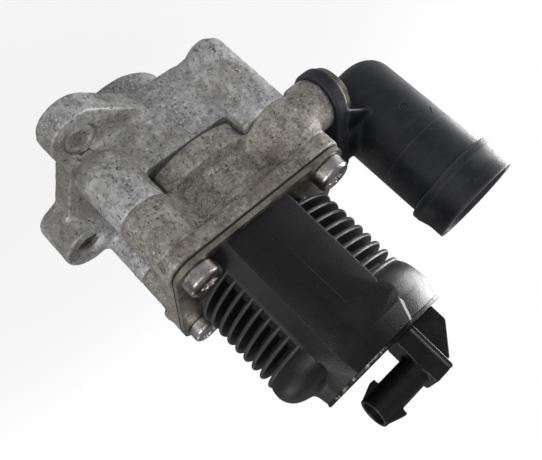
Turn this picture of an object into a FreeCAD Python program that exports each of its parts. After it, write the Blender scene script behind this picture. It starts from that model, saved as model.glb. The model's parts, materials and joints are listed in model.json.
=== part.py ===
import FreeCAD, Part
import math
import os
import Sketcher

# Secondary air valve.
# The solenoid's axis is Z and points up, the mounting face lies at zero height,
# the hose elbow leaves towards -X and the side with the flat pad faces -Y.
# Every length is in millimetres.

doc = FreeCAD.newDocument("secondary_air_valve")
sheet = doc.addObject("Spreadsheet::Sheet", "sizes")

DRIVING_SIZES = {
    # fits between pieces
    "press_clear": 0.02,
    "slide_clear": 0.05,
    "rest_gap": 0.3,
    # levels above the mounting face
    "spigot_length": 9,
    "mount_plate": 7,
    "step_level": 12,
    "housing_top": 22,
    "drum_level": 24,
    "joint_level": 30,
    "body_top": 49.3,
    # screw columns
    "screw_x": 22.1,
    "screw_y": 19.5,
    "column_radius": 7.5,
    "left_column_radius": 7,
    "rear_column_radius": 5.4,
    "raised_joint": 1.2,
    "left_foot_tip": 4.8,
    "left_foot_rise": 2.8,
    "screw_radius": 2.5,
    "screw_depth": 15,
    "screw_head_radius": 5,
    "screw_head": 4.2,
    "recess_radius": 2.3,
    "recess_depth": 2.2,
    "hole_clear": 0.3,
    # mounting housing
    "block_x": 21.5,
    "block_y": 21,
    "block_corner": 6,
    "lug_one_x": 21.3,
    "lug_one_y": -26,
    "lug_one_radius": 9,
    "lug_two_x": 32.2,
    "lug_two_y": 11.9,
    "lug_two_radius": 8.5,
    "lug_two_height": 14,
    "lug_hub_radius": 15,
    "lug_bridge_radius": 3.4,
    "foot_tip": 1.2,
    "foot_rise": 5.5,
    "tab_reach": 9.3,
    "tab_front": 24,
    "tab_back": 17,
    "tab_foot": 19,
    "notch_x": 14.8,
    "notch_width": 1.2,
    "notch_height": 1.6,
    "notch_depth": 1,
    "thread_radius": 3.4,
    "thread_mouth": 5.4,
    "ring_groove_radius": 4.1,
    "ring_groove": 0.9,
    "dimple_radius": 2.6,
    "dimple_depth": 1.6,
    "spigot_x": 3,
    "spigot_radius": 18,
    "spigot_bore": 15.6,
    "outlet_bore": 12.2,
    "outlet_lead": 1,
    "housing_bore": 16.1,
    # valve body
    "drum_radius": 24,
    "drum_rim": 6.5,
    "waist_radius": 20.2,
    "waist_rise": 3,
    "band_radius": 21,
    "band_rise": 4.5,
    "body_flange": 7.2,
    "flange_step": 4.6,
    "flange_round": 25.2,
    "flange_ear": 6.9,
    "flange_corner": 6.4,
    "web_inset": 4.5,
    "web_radius": 6,
    "notch_clear": 1.1,
    "nose_radius": 16,
    "nose_level": 14,
    "check_bore": 12.5,
    "floor_level": 25,
    "seat_level": 31,
    "seat_ring": 3,
    "seat_bore": 9,
    "seat_radius": 12,
    "floor_bore": 10,
    "chamber_radius": 15,
    "port_level": 37,
    "port_radius": 10.3,
    "port_bore": 8.5,
    "port_face": 35.7,
    "ear_y": -19,
    "ear_level": 34.3,
    "ear_boss_radius": 7.7,
    # flange plate and gasket
    "gasket": 0.5,
    "gasket_window": 17,
    "plate": 1.4,
    # valve spindle
    "stroke": 4,
    "stem_radius": 2,
    "poppet_lap": 1,
    "poppet_rubber": 1.2,
    "poppet_metal": 1.8,
    "rubber_inner": 8,
    "shoulder_radius": 3.2,
    "shoulder_rise": 1.6,
    "nut_flats": 7,
    "nut_height": 2.2,
    "bush_radius": 6,
    "bush_drop": 6,
    "seal_radius": 5.2,
    "seal_height": 1.8,
    "armature_radius": 5.9,
    "armature_length": 17,
    "armature_lift": 1.7,
    "stem_grip": 8,
    # return spring and its cup
    "spring_radius": 7.6,
    "spring_wire": 1.2,
    "spring_turns": 3.75,
    "cup_thick": 0.8,
    "cup_radius": 9.2,
    # check valve
    "check_radius": 11.5,
    "check_plate": 1.5,
    "check_stem": 2,
    "check_stem_drop": 11,
    "retainer_plate": 2,
    "retainer_hub": 4,
    "retainer_hub_rise": 2.5,
    "spoke_width": 3,
    "check_spring_radius": 6.4,
    "check_wire": 0.9,
    "check_turns": 3,
    "seal_section": 1.3,
    # solenoid
    "fin_radius": 24,
    "fin_root": 19.6,
    "fin_pitch": 3.14,
    "fin_thick": 1.45,
    "fin_count": 10,
    "last_fin": 80.2,
    "cavity_radius": 16.5,
    "cavity_top": 88,
    "cap_top": 94,
    "cap_shift": -4,
    "cap_rim": 0.3,
    "end_rim": 0.6,
    "pad_front": 23.8,
    "pad_half": 10,
    "pad_shift": 3,
    "pad_bevel": 2.6,
    "end_plate": 1,
    "sleeve_wall": 0.45,
    "can_radius": 16.4,
    "can_wall": 1.3,
    "spool_wall": 1,
    "spool_flange": 1.2,
    "spool_radius": 14.8,
    "winding_radius": 14.2,
    # connector
    "block_left": -13.5,
    "block_right": -6.8,
    "block_half": 4.4,
    "block_plate": 1.2,
    "block_plate_half": 5,
    "shell_corner": 1.8,
    "plate_corner": 0.8,
    "connector_top": 109.4,
    "barrel_level": 103.5,
    "barrel_radius": 4.3,
    "barrel_end": 9.8,
    "socket_radius": 3.3,
    "socket_depth": 11,
    "web_foot": 9.6,
    "web_step": 5.2,
    "web_tip": 2.2,
    "web_thick": 3.2,
    "latch_start": 3.6,
    "latch_length": 5,
    "latch_flat": 0.8,
    "latch_rise": 1.5,
    "latch_width": 4,
    "pin_size": 0.8,
    "pin_pitch": 2.6,
    "pin_length": 6,
    "key_left": -12.1,
    "key_x": 5.4,
    "key_y": 6,
    # elbow
    "tube_x": -59.6,
    "tube_radius": 14,
    "tube_wall": 1.5,
    "tube_foot": 26.4,
    "tube_mouth": 83,
    "tube_round": 8,
    "bead_start": 71.8,
    "bead_top": 72.4,
    "bead_land": 74.6,
    "bead_end": 78.5,
    "bead_rise": 1.6,
    "mouth_rise": 0.65,
    "leg_radius": 10,
    "leg_bore": 7,
    "collar": 4.3,
    "collar_radius": 11.5,
    "ear_radius": 8.8,
    "nose_length": 6,
    "elbow_bush_radius": 5,
    "elbow_head_radius": 7.7,
    "elbow_head": 2.9,
    "elbow_screw_depth": 10,
    "gusset_rise": 6,
    "gusset_thick": 2,
    "gusset_level": 29,
}


class Size:
    """A length that carries its formula for the sheet and its present number."""

    def __init__(self, text, number):
        self.text = text
        self.number = number

    def __add__(self, other):
        other = as_size(other)
        return Size(f"({self.text} + {other.text})", self.number + other.number)

    def __sub__(self, other):
        other = as_size(other)
        return Size(f"({self.text} - {other.text})", self.number - other.number)

    def __mul__(self, other):
        other = as_size(other)
        return Size(f"({self.text} * {other.text})", self.number * other.number)

    def __truediv__(self, other):
        other = as_size(other)
        return Size(f"({self.text} / {other.text})", self.number / other.number)

    def __neg__(self):
        return Size(f"(0 - {self.text})", -self.number)

    def __radd__(self, other):
        return as_size(other) + self

    def __rsub__(self, other):
        return as_size(other) - self

    def __rmul__(self, other):
        return as_size(other) * self


def as_size(value):
    if isinstance(value, Size):
        return value
    return Size(f"({value})", value)


class SizeTable:
    """Every driving size by its name, as s.name."""

    def __init__(self, table):
        for row, (name, number) in enumerate(table.items(), start=1):
            sheet.set(f"A{row}", name)
            sheet.set(f"B{row}", str(number))
            sheet.setAlias(f"B{row}", name)
            setattr(self, name, Size(f"sizes.{name}", float(number)))


s = SizeTable(DRIVING_SIZES)
doc.recompute()

# derived levels and places
plate_bottom = s.body_top + s.gasket
plate_top = plate_bottom + s.plate
raised_level = s.joint_level + s.raised_joint

# each screw column's x, y, radius and joint level
FRONT_COLUMNS = (
    (s.screw_x, -s.screw_y, s.column_radius, raised_level),
    (-s.screw_x, -s.screw_y, s.left_column_radius, s.joint_level),
)
REAR_COLUMNS = (
    (s.screw_x, s.screw_y, s.rear_column_radius, s.joint_level),
    (-s.screw_x, s.screw_y, s.rear_column_radius, s.joint_level),
)
COLUMNS = FRONT_COLUMNS + REAR_COLUMNS

# levels of the pieces inside
poppet_radius = s.seat_radius - s.poppet_lap
poppet_bottom = s.seat_level + s.slide_clear
poppet_top = poppet_bottom + s.poppet_rubber + s.poppet_metal
armature_bottom = plate_top + s.armature_lift
armature_top = armature_bottom + s.armature_length
core_bottom = armature_top + s.stroke + s.rest_gap
check_top = s.floor_level - s.slide_clear
check_bottom = check_top - s.check_plate
stem_seat = plate_bottom - s.bush_drop


def bind(thing, field, size):
    """Set a field of an object and tie it to the sheet."""
    size = as_size(size)
    thing.setExpression(field, size.text)


def place(thing, x=0, y=0, z=0):
    """Tie an object's place to the sheet."""
    bind(thing, "Placement.Base.x", x)
    bind(thing, "Placement.Base.y", y)
    bind(thing, "Placement.Base.z", z)
    return thing


def turn(thing, axis, degrees):
    """Turn an object about its own base point."""
    thing.Placement = FreeCAD.Placement(FreeCAD.Vector(0, 0, 0), FreeCAD.Rotation(axis, degrees))
    return thing


X_AXIS = FreeCAD.Vector(1, 0, 0)
Y_AXIS = FreeCAD.Vector(0, 1, 0)
Z_AXIS = FreeCAD.Vector(0, 0, 1)


def cylinder(radius, bottom, top, x=0, y=0):
    """An upright cylinder between two levels."""
    thing = doc.addObject("Part::Cylinder", "cylinder")
    bind(thing, "Radius", radius)
    bind(thing, "Height", top - bottom)
    return place(thing, x, y, bottom)


def cylinder_x(radius, left, right, y, z):
    """A cylinder along X between two places."""
    thing = turn(doc.addObject("Part::Cylinder", "cylinder"), Y_AXIS, 90)
    bind(thing, "Radius", radius)
    bind(thing, "Height", right - left)
    return place(thing, left, y, z)


def cone(lower, upper, bottom, top, x=0, y=0):
    """An upright cone frustum between two levels."""
    thing = doc.addObject("Part::Cone", "cone")
    bind(thing, "Radius1", lower)
    bind(thing, "Radius2", upper)
    bind(thing, "Height", top - bottom)
    return place(thing, x, y, bottom)


def box(left, right, front, back, bottom, top):
    """A box between three pairs of planes."""
    thing = doc.addObject("Part::Box", "box")
    bind(thing, "Length", right - left)
    bind(thing, "Width", back - front)
    bind(thing, "Height", top - bottom)
    return place(thing, left, front, bottom)


def fused(*things):
    """One solid of several that meet."""
    if len(things) == 1:
        return things[0]
    whole = doc.addObject("Part::MultiFuse", "fuse")
    whole.Shapes = list(things)
    whole.Refine = True
    return whole


def cut(base, *tools):
    """The base without the tools."""
    rest = doc.addObject("Part::Cut", "cut")
    rest.Base = base
    rest.Tool = fused(*tools)
    rest.Refine = True
    return rest


def dimension(sketch, kind, *where, size):
    """One sketch dimension tied to the sheet."""
    size = as_size(size)
    index = sketch.addConstraint(Sketcher.Constraint(kind, *where, size.number))
    sketch.setExpression(f"Constraints[{index}]", size.text)


def origin_plane(body, role):
    """One of a body's own origin planes."""
    return next(plane for plane in body.Origin.OriginFeatures if plane.Role == role)


def draw_outline(sketch, corners):
    """A closed outline of straight lines, each corner tied to the sheet."""
    points = [FreeCAD.Vector(as_size(u).number, as_size(v).number, 0) for u, v in corners]
    count = len(points)
    for index in range(count):
        sketch.addGeometry(Part.LineSegment(points[index], points[(index + 1) % count]))
    for index in range(count):
        sketch.addConstraint(Sketcher.Constraint("Coincident", index, 2, (index + 1) % count, 1))
    for index, (u, v) in enumerate(corners):
        for kind, value, axis in (("DistanceX", u, -2), ("DistanceY", v, -1)):
            if as_size(value).number == 0:
                sketch.addConstraint(Sketcher.Constraint("PointOnObject", index, 1, axis))
            else:
                dimension(sketch, kind, -1, 1, index, 1, size=value)


def turned(name, bottom, outline, x=0, y=0):
    """A body turned about Z from an outline of radius and height pairs."""
    body = doc.addObject("PartDesign::Body", name)
    sketch = body.newObject("Sketcher::SketchObject", "half_section")
    sketch.AttachmentSupport = [(origin_plane(body, "XZ_Plane"), "")]
    sketch.MapMode = "FlatFace"
    draw_outline(sketch, outline)
    revolve = body.newObject("PartDesign::Revolution", "turned")
    revolve.Profile = sketch
    revolve.ReferenceAxis = (sketch, ["V_Axis"])
    revolve.Angle = 360
    return place(body, x, y, bottom)


def ring(name, inner, outer, bottom, top, x=0, y=0):
    """A plain turned ring between two levels."""
    height = top - bottom
    return turned(name, bottom, ((inner, 0), (outer, 0), (outer, height), (inner, height)), x, y)


def turned_along_x(name, right, outline, y, z):
    """A body turned about an axis that runs to -X from its right end."""
    body = turned(name, 0, outline)
    return place(turn(body, Y_AXIS, -90), right, y, z)


def padded_outline(name, corners, depth, plane="XY_Plane"):
    """A body of one outline, padded by a depth."""
    body = doc.addObject("PartDesign::Body", name)
    sketch = body.newObject("Sketcher::SketchObject", "outline")
    sketch.AttachmentSupport = [(origin_plane(body, plane), "")]
    sketch.MapMode = "FlatFace"
    draw_outline(sketch, corners)
    pad = body.newObject("PartDesign::Pad", "pad")
    pad.Profile = sketch
    bind(pad, "Length", depth)
    return body


def hull(first, second, bottom, top):
    """The upright plate that wraps two circles, each given as x, y and radius."""
    (x1, y1, r1), (x2, y2, r2) = first, second
    dx = x2 - x1
    dy = y2 - y1
    span = Size(f"sqrt({dx.text} ^ 2 + {dy.text} ^ 2)", math.hypot(dx.number, dy.number))
    plate = hull_plate(r1, r2, span, top - bottom)
    turn(plate, Z_AXIS, math.degrees(math.atan2(dy.number, dx.number)))
    plate.setExpression("Placement.Rotation.Angle", f"atan2({dy.text}; {dx.text})")
    plate.setExpression("Placement.Rotation.Axis.z", "1")
    return place(plate, x1, y1, bottom)


def hull_plate(r1, r2, span, thick):
    """Two circles a span apart on X, wrapped by their tangents and extruded."""
    sketch = doc.addObject("Sketcher::SketchObject", "hull_outline")
    slope = math.acos((r1.number - r2.number) / span.number)
    centres = (FreeCAD.Vector(0, 0, 0), FreeCAD.Vector(span.number, 0, 0))
    arcs = (
        Part.ArcOfCircle(Part.Circle(centres[0], Z_AXIS, r1.number), slope, 2 * math.pi - slope),
        Part.ArcOfCircle(Part.Circle(centres[1], Z_AXIS, r2.number), -slope, slope),
    )
    sketch.addGeometry(arcs[0])
    sketch.addGeometry(arcs[1])
    sketch.addGeometry(Part.LineSegment(arcs[0].StartPoint, arcs[1].EndPoint))
    sketch.addGeometry(Part.LineSegment(arcs[0].EndPoint, arcs[1].StartPoint))
    sketch.addConstraint([
        Sketcher.Constraint("Tangent", 2, 1, 0, 1),
        Sketcher.Constraint("Tangent", 2, 2, 1, 2),
        Sketcher.Constraint("Tangent", 3, 1, 0, 2),
        Sketcher.Constraint("Tangent", 3, 2, 1, 1),
        Sketcher.Constraint("Coincident", 0, 3, -1, 1),
        Sketcher.Constraint("PointOnObject", 1, 3, -1),
    ])
    dimension(sketch, "Radius", 0, size=r1)
    dimension(sketch, "Radius", 1, size=r2)
    dimension(sketch, "DistanceX", 0, 3, 1, 3, size=span)
    plate = doc.addObject("Part::Extrusion", "hull_plate")
    plate.Base = sketch
    plate.DirMode = "Normal"
    plate.Solid = True
    bind(plate, "LengthFwd", thick)
    return plate


def rounded_plate(half_x, half_y, corner, bottom, top):
    """A rectangle with round corners, about the Z axis."""
    across_x = box(-half_x, half_x, corner - half_y, half_y - corner, bottom, top)
    across_y = box(corner - half_x, half_x - corner, -half_y, half_y, bottom, top)
    posts = [
        cylinder(corner, bottom, top, side_x * (half_x - corner), side_y * (half_y - corner))
        for side_x in (-1, 1)
        for side_y in (-1, 1)
    ]
    return fused(across_x, across_y, *posts)


def spring(radius, wire, turns, bottom, top):
    """A coil spring between two levels, swept along a helix."""
    height = top - bottom - wire
    path = doc.addObject("Part::Helix", "spring_path")
    bind(path, "Pitch", height / turns)
    bind(path, "Height", height)
    bind(path, "Radius", radius)
    place(path, 0, 0, bottom + wire / 2)
    section = turn(doc.addObject("Part::RegularPolygon", "wire_section"), X_AXIS, 90)
    section.Polygon = 8
    bind(section, "Circumradius", wire / 2)
    place(section, radius, 0, bottom + wire / 2)
    coil = doc.addObject("Part::Sweep", "spring")
    coil.Sections = [section]
    coil.Spine = (path, [])
    coil.Solid = True
    coil.Frenet = True
    return coil


def mounting_housing():
    """The light casting: flange with lugs, block, columns, outlet duct and spigot."""
    hub = (as_size(0), as_size(0), s.lug_hub_radius)
    lug_one = (s.lug_one_x, s.lug_one_y, s.lug_one_radius)
    lug_two = (s.lug_two_x, s.lug_two_y, s.lug_two_radius)
    zero = as_size(0)
    solids = [
        rounded_plate(s.block_x, s.block_y, s.block_corner, zero, s.housing_top),
        hull(lug_one, hub, zero, s.mount_plate),
        hull(lug_two, hub, zero, s.mount_plate),
        hull((s.lug_one_x, s.lug_one_y, s.lug_bridge_radius),
             (s.lug_two_x, s.lug_two_y, s.lug_bridge_radius), zero, s.mount_plate),
        cylinder(s.lug_two_radius, zero, s.lug_two_height, s.lug_two_x, s.lug_two_y),
        cylinder(s.spigot_radius, -s.spigot_length, s.mount_plate, s.spigot_x),
    ]
    front_feet = (
        (s.foot_tip, s.mount_plate, s.mount_plate + s.foot_rise),
        (s.left_foot_tip, zero, s.left_foot_rise),
    )
    for (x, y, radius, joint), (tip, foot, foot_top) in zip(FRONT_COLUMNS, front_feet):
        solids.append(cone(tip, radius, foot, foot_top, x, y))
        solids.append(cylinder(radius, foot_top, joint, x, y))
    solids += [cylinder(radius, zero, joint, x, y) for x, y, radius, joint in REAR_COLUMNS]
    solids.append(box(-s.screw_x, s.tab_reach - s.screw_x, -s.tab_front, -s.tab_back,
                      s.tab_foot, s.joint_level))
    tools = [
        box(-s.notch_x, s.notch_width - s.notch_x, -s.block_y, s.notch_depth - s.block_y,
            zero, s.notch_height),
        cylinder(s.housing_bore, s.step_level, s.joint_level),
        cylinder(s.outlet_bore, zero, s.step_level - s.outlet_lead),
        cone(s.outlet_bore, s.check_bore, s.step_level - s.outlet_lead, s.step_level),
        cylinder(s.spigot_bore, -s.spigot_length, zero, s.spigot_x),
        cylinder(s.thread_radius, zero, s.lug_two_height, s.lug_two_x, s.lug_two_y),
        cone(s.thread_radius, s.thread_mouth, s.lug_two_height - (s.thread_mouth - s.thread_radius),
             s.lug_two_height, s.lug_two_x, s.lug_two_y),
        cut(cylinder(s.ring_groove_radius + s.ring_groove, s.mount_plate - s.ring_groove,
                     s.mount_plate, s.lug_one_x, s.lug_one_y),
            cylinder(s.ring_groove_radius, s.mount_plate - s.ring_groove,
                     s.mount_plate, s.lug_one_x, s.lug_one_y)),
        cylinder(s.dimple_radius, s.mount_plate - s.dimple_depth, s.mount_plate,
                 s.lug_one_x, s.lug_one_y),
    ]
    tools += [
        cylinder(s.screw_radius + s.press_clear, s.joint_level - s.screw_depth - s.rest_gap,
                 joint, x, y)
        for x, y, radius, joint in COLUMNS
    ]
    return cut(fused(*solids), *tools)


def valve_body():
    """The darker casting: flange, columns, waisted drum, air port and ear boss."""
    flange_bottom = s.body_top - s.body_flange
    waist_bottom = s.drum_level + s.drum_rim
    drum = turned("drum", s.nose_level, (
        (0, 0),
        (s.nose_radius, 0),
        (s.nose_radius, s.drum_level - s.nose_level),
        (s.drum_radius, s.drum_level - s.nose_level),
        (s.drum_radius, waist_bottom - s.nose_level),
        (s.waist_radius, waist_bottom - s.nose_level + s.waist_rise / 2),
        (s.waist_radius, waist_bottom - s.nose_level + s.waist_rise),
        (s.band_radius, waist_bottom - s.nose_level + s.waist_rise + s.band_rise),
        (s.band_radius, flange_bottom - s.nose_level),
        (0, flange_bottom - s.nose_level),
    ))
    solids = [
        drum,
        flange_outline(s.body_top - s.flange_step, s.body_top),
        cylinder(s.flange_round, flange_bottom, s.body_top - s.flange_step),
    ]
    solids += [
        cylinder(s.flange_ear, flange_bottom, s.body_top - s.flange_step, x, y)
        for x, y, radius, joint in COLUMNS
    ]
    solids += [
        hull((x, y, s.column_radius), (x - x / abs(x.number) * s.web_inset,
                                       y + s.web_inset / 2, s.web_radius),
             joint, flange_bottom)
        for x, y, radius, joint in FRONT_COLUMNS
    ]
    solids += [cylinder(radius, joint, s.body_top, x, y) for x, y, radius, joint in COLUMNS]
    solids.append(cylinder_x(s.port_radius, -s.port_face, as_size(0), 0, s.port_level))
    solids.append(cylinder_x(s.ear_boss_radius, -s.port_face, -s.screw_x, s.ear_y, s.ear_level))
    tools = [
        cylinder(s.chamber_radius, s.seat_level, s.body_top),
        cylinder(s.seat_radius + s.press_clear, s.seat_level - s.seat_ring, s.seat_level),
        cylinder(s.floor_bore, s.floor_level, s.seat_level),
        cylinder(s.check_bore, s.nose_level, s.floor_level),
        cylinder_x(s.port_bore, -s.port_face, -s.seat_radius, 0, s.port_level),
        cylinder_x(s.screw_radius + s.press_clear, -s.port_face,
                   s.elbow_screw_depth - s.port_face, s.ear_y, s.ear_level),
        cut(cylinder(s.nose_radius, s.nose_level + s.seal_section,
                     s.nose_level + 3 * s.seal_section),
            cylinder(s.nose_radius - s.seal_section, s.nose_level + s.seal_section,
                     s.nose_level + 3 * s.seal_section)),
    ]
    for x, y, radius, joint in COLUMNS:
        tools.append(cylinder(s.screw_radius + s.hole_clear, joint, s.body_top, x, y))
        tools.append(cylinder(radius + s.notch_clear, s.nose_level, joint, x, y))
    tools.append(box(-s.screw_x, s.tab_reach + s.notch_clear - s.screw_x, -s.drum_radius,
                     s.notch_clear - s.tab_back, s.nose_level, s.joint_level))
    return cut(fused(*solids), *tools)


def outlet_seal():
    """The ring in the drum nose's groove, against the mounting housing's bore."""
    return ring("outlet_seal", s.nose_radius - s.seal_section + s.press_clear,
                s.housing_bore - s.press_clear,
                s.nose_level + s.seal_section + s.press_clear,
                s.nose_level + 3 * s.seal_section - s.press_clear)


def flange_outline(bottom, top):
    """The plate outline that the flange, gasket and steel plate share."""
    half_x = s.screw_x + s.flange_corner
    half_y = s.screw_y + s.flange_corner
    return rounded_plate(half_x, half_y, s.flange_corner, bottom, top)


def screw_holes(bottom, top):
    """The four clearance holes of the flange screws."""
    return [
        cylinder(s.screw_radius + s.hole_clear, bottom, top, x, y)
        for x, y, radius, joint in COLUMNS
    ]


def flange_gasket():
    """The thin gasket between the valve body and the steel plate."""
    window = cylinder(s.gasket_window, s.body_top, plate_bottom)
    return cut(flange_outline(s.body_top, plate_bottom), window,
               *screw_holes(s.body_top, plate_bottom))


def solenoid_flange():
    """The steel plate that carries the solenoid and the spindle's bush."""
    middle = cylinder(s.bush_radius + s.press_clear, plate_bottom, plate_top)
    return cut(flange_outline(plate_bottom, plate_top), middle,
               *screw_holes(plate_bottom, plate_top))


def six_lobe_recess(radius, bottom, top, x, y):
    """A six-lobed driver recess: a round core with six round lobes."""
    lobe_count = 6
    core = radius * 3 / 4
    lobe = radius / 4
    lobes = [cylinder(core, bottom, top, x, y)]
    for index in range(lobe_count):
        angle = 2 * math.pi * index / lobe_count
        lobes.append(cylinder(lobe, bottom, top,
                              x + core * math.cos(angle), y + core * math.sin(angle)))
    return fused(*lobes)


def pan_screw_points(head_radius, head, length):
    """Half section of a pan head screw, its tip at the bottom."""
    tip_chamfer = s.screw_radius / 4
    crown_drop = head * 2 / 5
    crown_inset = head_radius / 5
    return (
        (0, 0),
        (s.screw_radius - tip_chamfer, 0),
        (s.screw_radius, tip_chamfer),
        (s.screw_radius, length),
        (head_radius, length),
        (head_radius, length + head - crown_drop),
        (head_radius - crown_inset, length + head),
        (0, length + head),
    )


def flange_screw(x, y):
    """One long pan head screw with its recess."""
    length = plate_top - s.joint_level + s.screw_depth
    head_top = plate_top + s.screw_head
    points = pan_screw_points(s.screw_head_radius, s.screw_head, length)
    blank = turned("flange_screw", plate_top - length, points, x, y)
    return cut(blank, six_lobe_recess(s.recess_radius, head_top - s.recess_depth, head_top, x, y))


def flange_screws():
    """Four identical screws through the plate and the body."""
    group = doc.addObject("Part::Compound", "flange_screws")
    group.Links = [flange_screw(x, y) for x, y, radius, joint in COLUMNS]
    return group


def valve_seat():
    """The pressed seat ring with a narrow sealing land."""
    land = s.seat_ring / 3
    return turned("valve_seat", s.seat_level - s.seat_ring, (
        (s.seat_bore, 0),
        (s.seat_radius, 0),
        (s.seat_radius, s.seat_ring - land),
        (s.floor_bore, s.seat_ring),
        (s.seat_bore, s.seat_ring),
    ))


def poppet_seal():
    """The rubber ring bonded under the poppet plate."""
    return ring("poppet_seal", s.rubber_inner, poppet_radius + s.press_clear,
                poppet_bottom, poppet_bottom + s.poppet_rubber)


def poppet_plate():
    """The dished poppet plate with its raised middle."""
    bore = s.stem_radius + s.press_clear
    return turned("poppet_plate", poppet_bottom + s.poppet_rubber, (
        (bore, 0),
        (poppet_radius, 0),
        (poppet_radius, s.poppet_metal / 2),
        (s.cup_radius, s.poppet_metal),
        (bore, s.poppet_metal),
    ))


def spindle_nut():
    """The hexagon nut that clamps the poppet plate from below."""
    top = poppet_bottom + s.poppet_rubber
    prism = doc.addObject("Part::Prism", "hexagon")
    prism.Polygon = 6
    bind(prism, "Circumradius", s.nut_flats / math.sqrt(3))
    bind(prism, "Height", s.nut_height)
    place(prism, 0, 0, top - s.nut_height)
    hole = cylinder(s.stem_radius + s.press_clear, top - s.nut_height, top)
    return cut(prism, hole)


def spindle():
    """The stem from the nut to the armature, with a shoulder on the poppet plate."""
    foot = s.seat_level - s.seat_ring
    tail = armature_bottom + s.stem_grip
    shoulder = poppet_top + s.cup_thick - foot
    return turned("spindle", foot, (
        (0, 0),
        (s.stem_radius, 0),
        (s.stem_radius, shoulder),
        (s.shoulder_radius, shoulder),
        (s.shoulder_radius, shoulder + s.shoulder_rise),
        (s.stem_radius, shoulder + s.shoulder_rise),
        (s.stem_radius, tail - foot),
        (0, tail - foot),
    ))


def spring_cup():
    """The thin dished washer under the return spring."""
    bore = s.stem_radius + s.press_clear
    outer = s.cup_radius - s.cup_thick / 2
    return turned("spring_cup", poppet_top, (
        (bore, 0),
        (outer, 0),
        (outer, s.cup_thick * 2),
        (outer - s.cup_thick / 2, s.cup_thick * 2),
        (outer - s.cup_thick / 2, s.cup_thick),
        (bore, s.cup_thick),
    ))


def return_spring():
    """The coil spring that closes the poppet."""
    return spring(s.spring_radius, s.spring_wire, s.spring_turns,
                  poppet_top + s.cup_thick, plate_bottom)


def spindle_bush():
    """The stem's guide bush, pressed in the steel plate."""
    bore = s.stem_radius + s.slide_clear
    length = plate_top - stem_seat
    return turned("spindle_bush", stem_seat, (
        (s.seal_radius, 0),
        (s.bush_radius, 0),
        (s.bush_radius, length),
        (bore, length),
        (bore, s.seal_height),
        (s.seal_radius, s.seal_height),
    ))


def spindle_seal():
    """The lip seal in the bush's mouth."""
    lip = s.stem_radius + s.slide_clear
    wall = s.seal_radius - s.press_clear
    return turned("spindle_seal", stem_seat, (
        (lip, 0),
        (lip + s.seal_height / 3, 0),
        (wall - s.seal_height / 2, s.seal_height / 2),
        (wall, 0),
        (wall, s.seal_height),
        (lip + s.seal_height / 3, s.seal_height),
    ))


def armature():
    """The plunger on the spindle, with a chamfered top."""
    bore = s.stem_radius + s.press_clear
    length = s.armature_length
    return turned("armature", armature_bottom, (
        (bore, 0),
        (s.armature_radius - bore / 4, 0),
        (s.armature_radius, bore / 4),
        (s.armature_radius, length - bore / 2),
        (s.armature_radius - bore / 2, length),
        (0, length),
        (0, s.stem_grip + s.press_clear),
        (bore, s.stem_grip + s.press_clear),
    ))


def sleeve_inner():
    """The tube's bore, with the armature's running clearance."""
    return s.armature_radius + s.slide_clear


def sleeve_outer():
    """The tube's outside radius."""
    return sleeve_inner() + s.sleeve_wall


def coil_top():
    """The level of the can's, tube's and core's top."""
    return s.cavity_top - s.rest_gap


def armature_sleeve():
    """The thin brass tube that guides the armature and holds the core."""
    return ring("armature_sleeve", sleeve_inner(), sleeve_outer(), plate_top, coil_top())


def fixed_core():
    """The pole piece in the tube above the armature."""
    chamfer = (s.stem_radius + s.press_clear) / 2
    radius = sleeve_inner() - s.press_clear
    height = coil_top() - core_bottom
    return turned("fixed_core", core_bottom, (
        (0, 0),
        (radius - chamfer, 0),
        (radius, chamfer / 2),
        (radius, height),
        (0, height),
    ))


def key_hole(clear, bottom, top):
    """The space of the connector's keyed foot, grown by a clearance."""
    return box(s.key_left - clear, s.key_left + s.key_x + clear, -s.key_y / 2 - clear,
               s.key_y / 2 + clear, bottom, top)


def flux_can():
    """The steel can round the coil, with a slot for the connector's foot."""
    height = coil_top() - plate_top
    hole = sleeve_outer() + s.press_clear
    can = turned("flux_can", plate_top, (
        (s.can_radius - s.can_wall, 0),
        (s.can_radius, 0),
        (s.can_radius, height),
        (hole, height),
        (hole, height - s.can_wall),
        (s.can_radius - s.can_wall, height - s.can_wall),
    ))
    return cut(can, key_hole(s.press_clear, coil_top() - s.can_wall, coil_top()))


def spool_span():
    """The levels of the bobbin's two ends."""
    return plate_top + s.rest_gap, coil_top() - s.can_wall - s.rest_gap


def coil_bobbin():
    """The flanged spool on the sleeve."""
    bottom, top = spool_span()
    inner = sleeve_outer() + s.press_clear
    tube = inner + s.spool_wall
    height = top - bottom
    spool = turned("coil_bobbin", bottom, (
        (inner, 0),
        (s.spool_radius, 0),
        (s.spool_radius, s.spool_flange),
        (tube, s.spool_flange),
        (tube, height - s.spool_flange),
        (s.spool_radius, height - s.spool_flange),
        (s.spool_radius, height),
        (inner, height),
    ))
    return cut(spool, *pin_boxes(s.press_clear, s.barrel_end - s.socket_depth))


def coil_winding():
    """The copper winding between the spool's flanges."""
    bottom, top = spool_span()
    inner = sleeve_outer() + s.spool_wall + 2 * s.press_clear
    return ring("coil_winding", inner, s.winding_radius,
                bottom + s.spool_flange + s.press_clear, top - s.spool_flange - s.press_clear)


def check_disc():
    """The check valve's disc with its guide stem."""
    drop = s.check_stem_drop
    return turned("check_disc", check_bottom - drop, (
        (0, 0),
        (s.check_stem, 0),
        (s.check_stem, drop),
        (s.check_radius, drop),
        (s.check_radius, drop + s.check_plate),
        (0, drop + s.check_plate),
    ))


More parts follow.
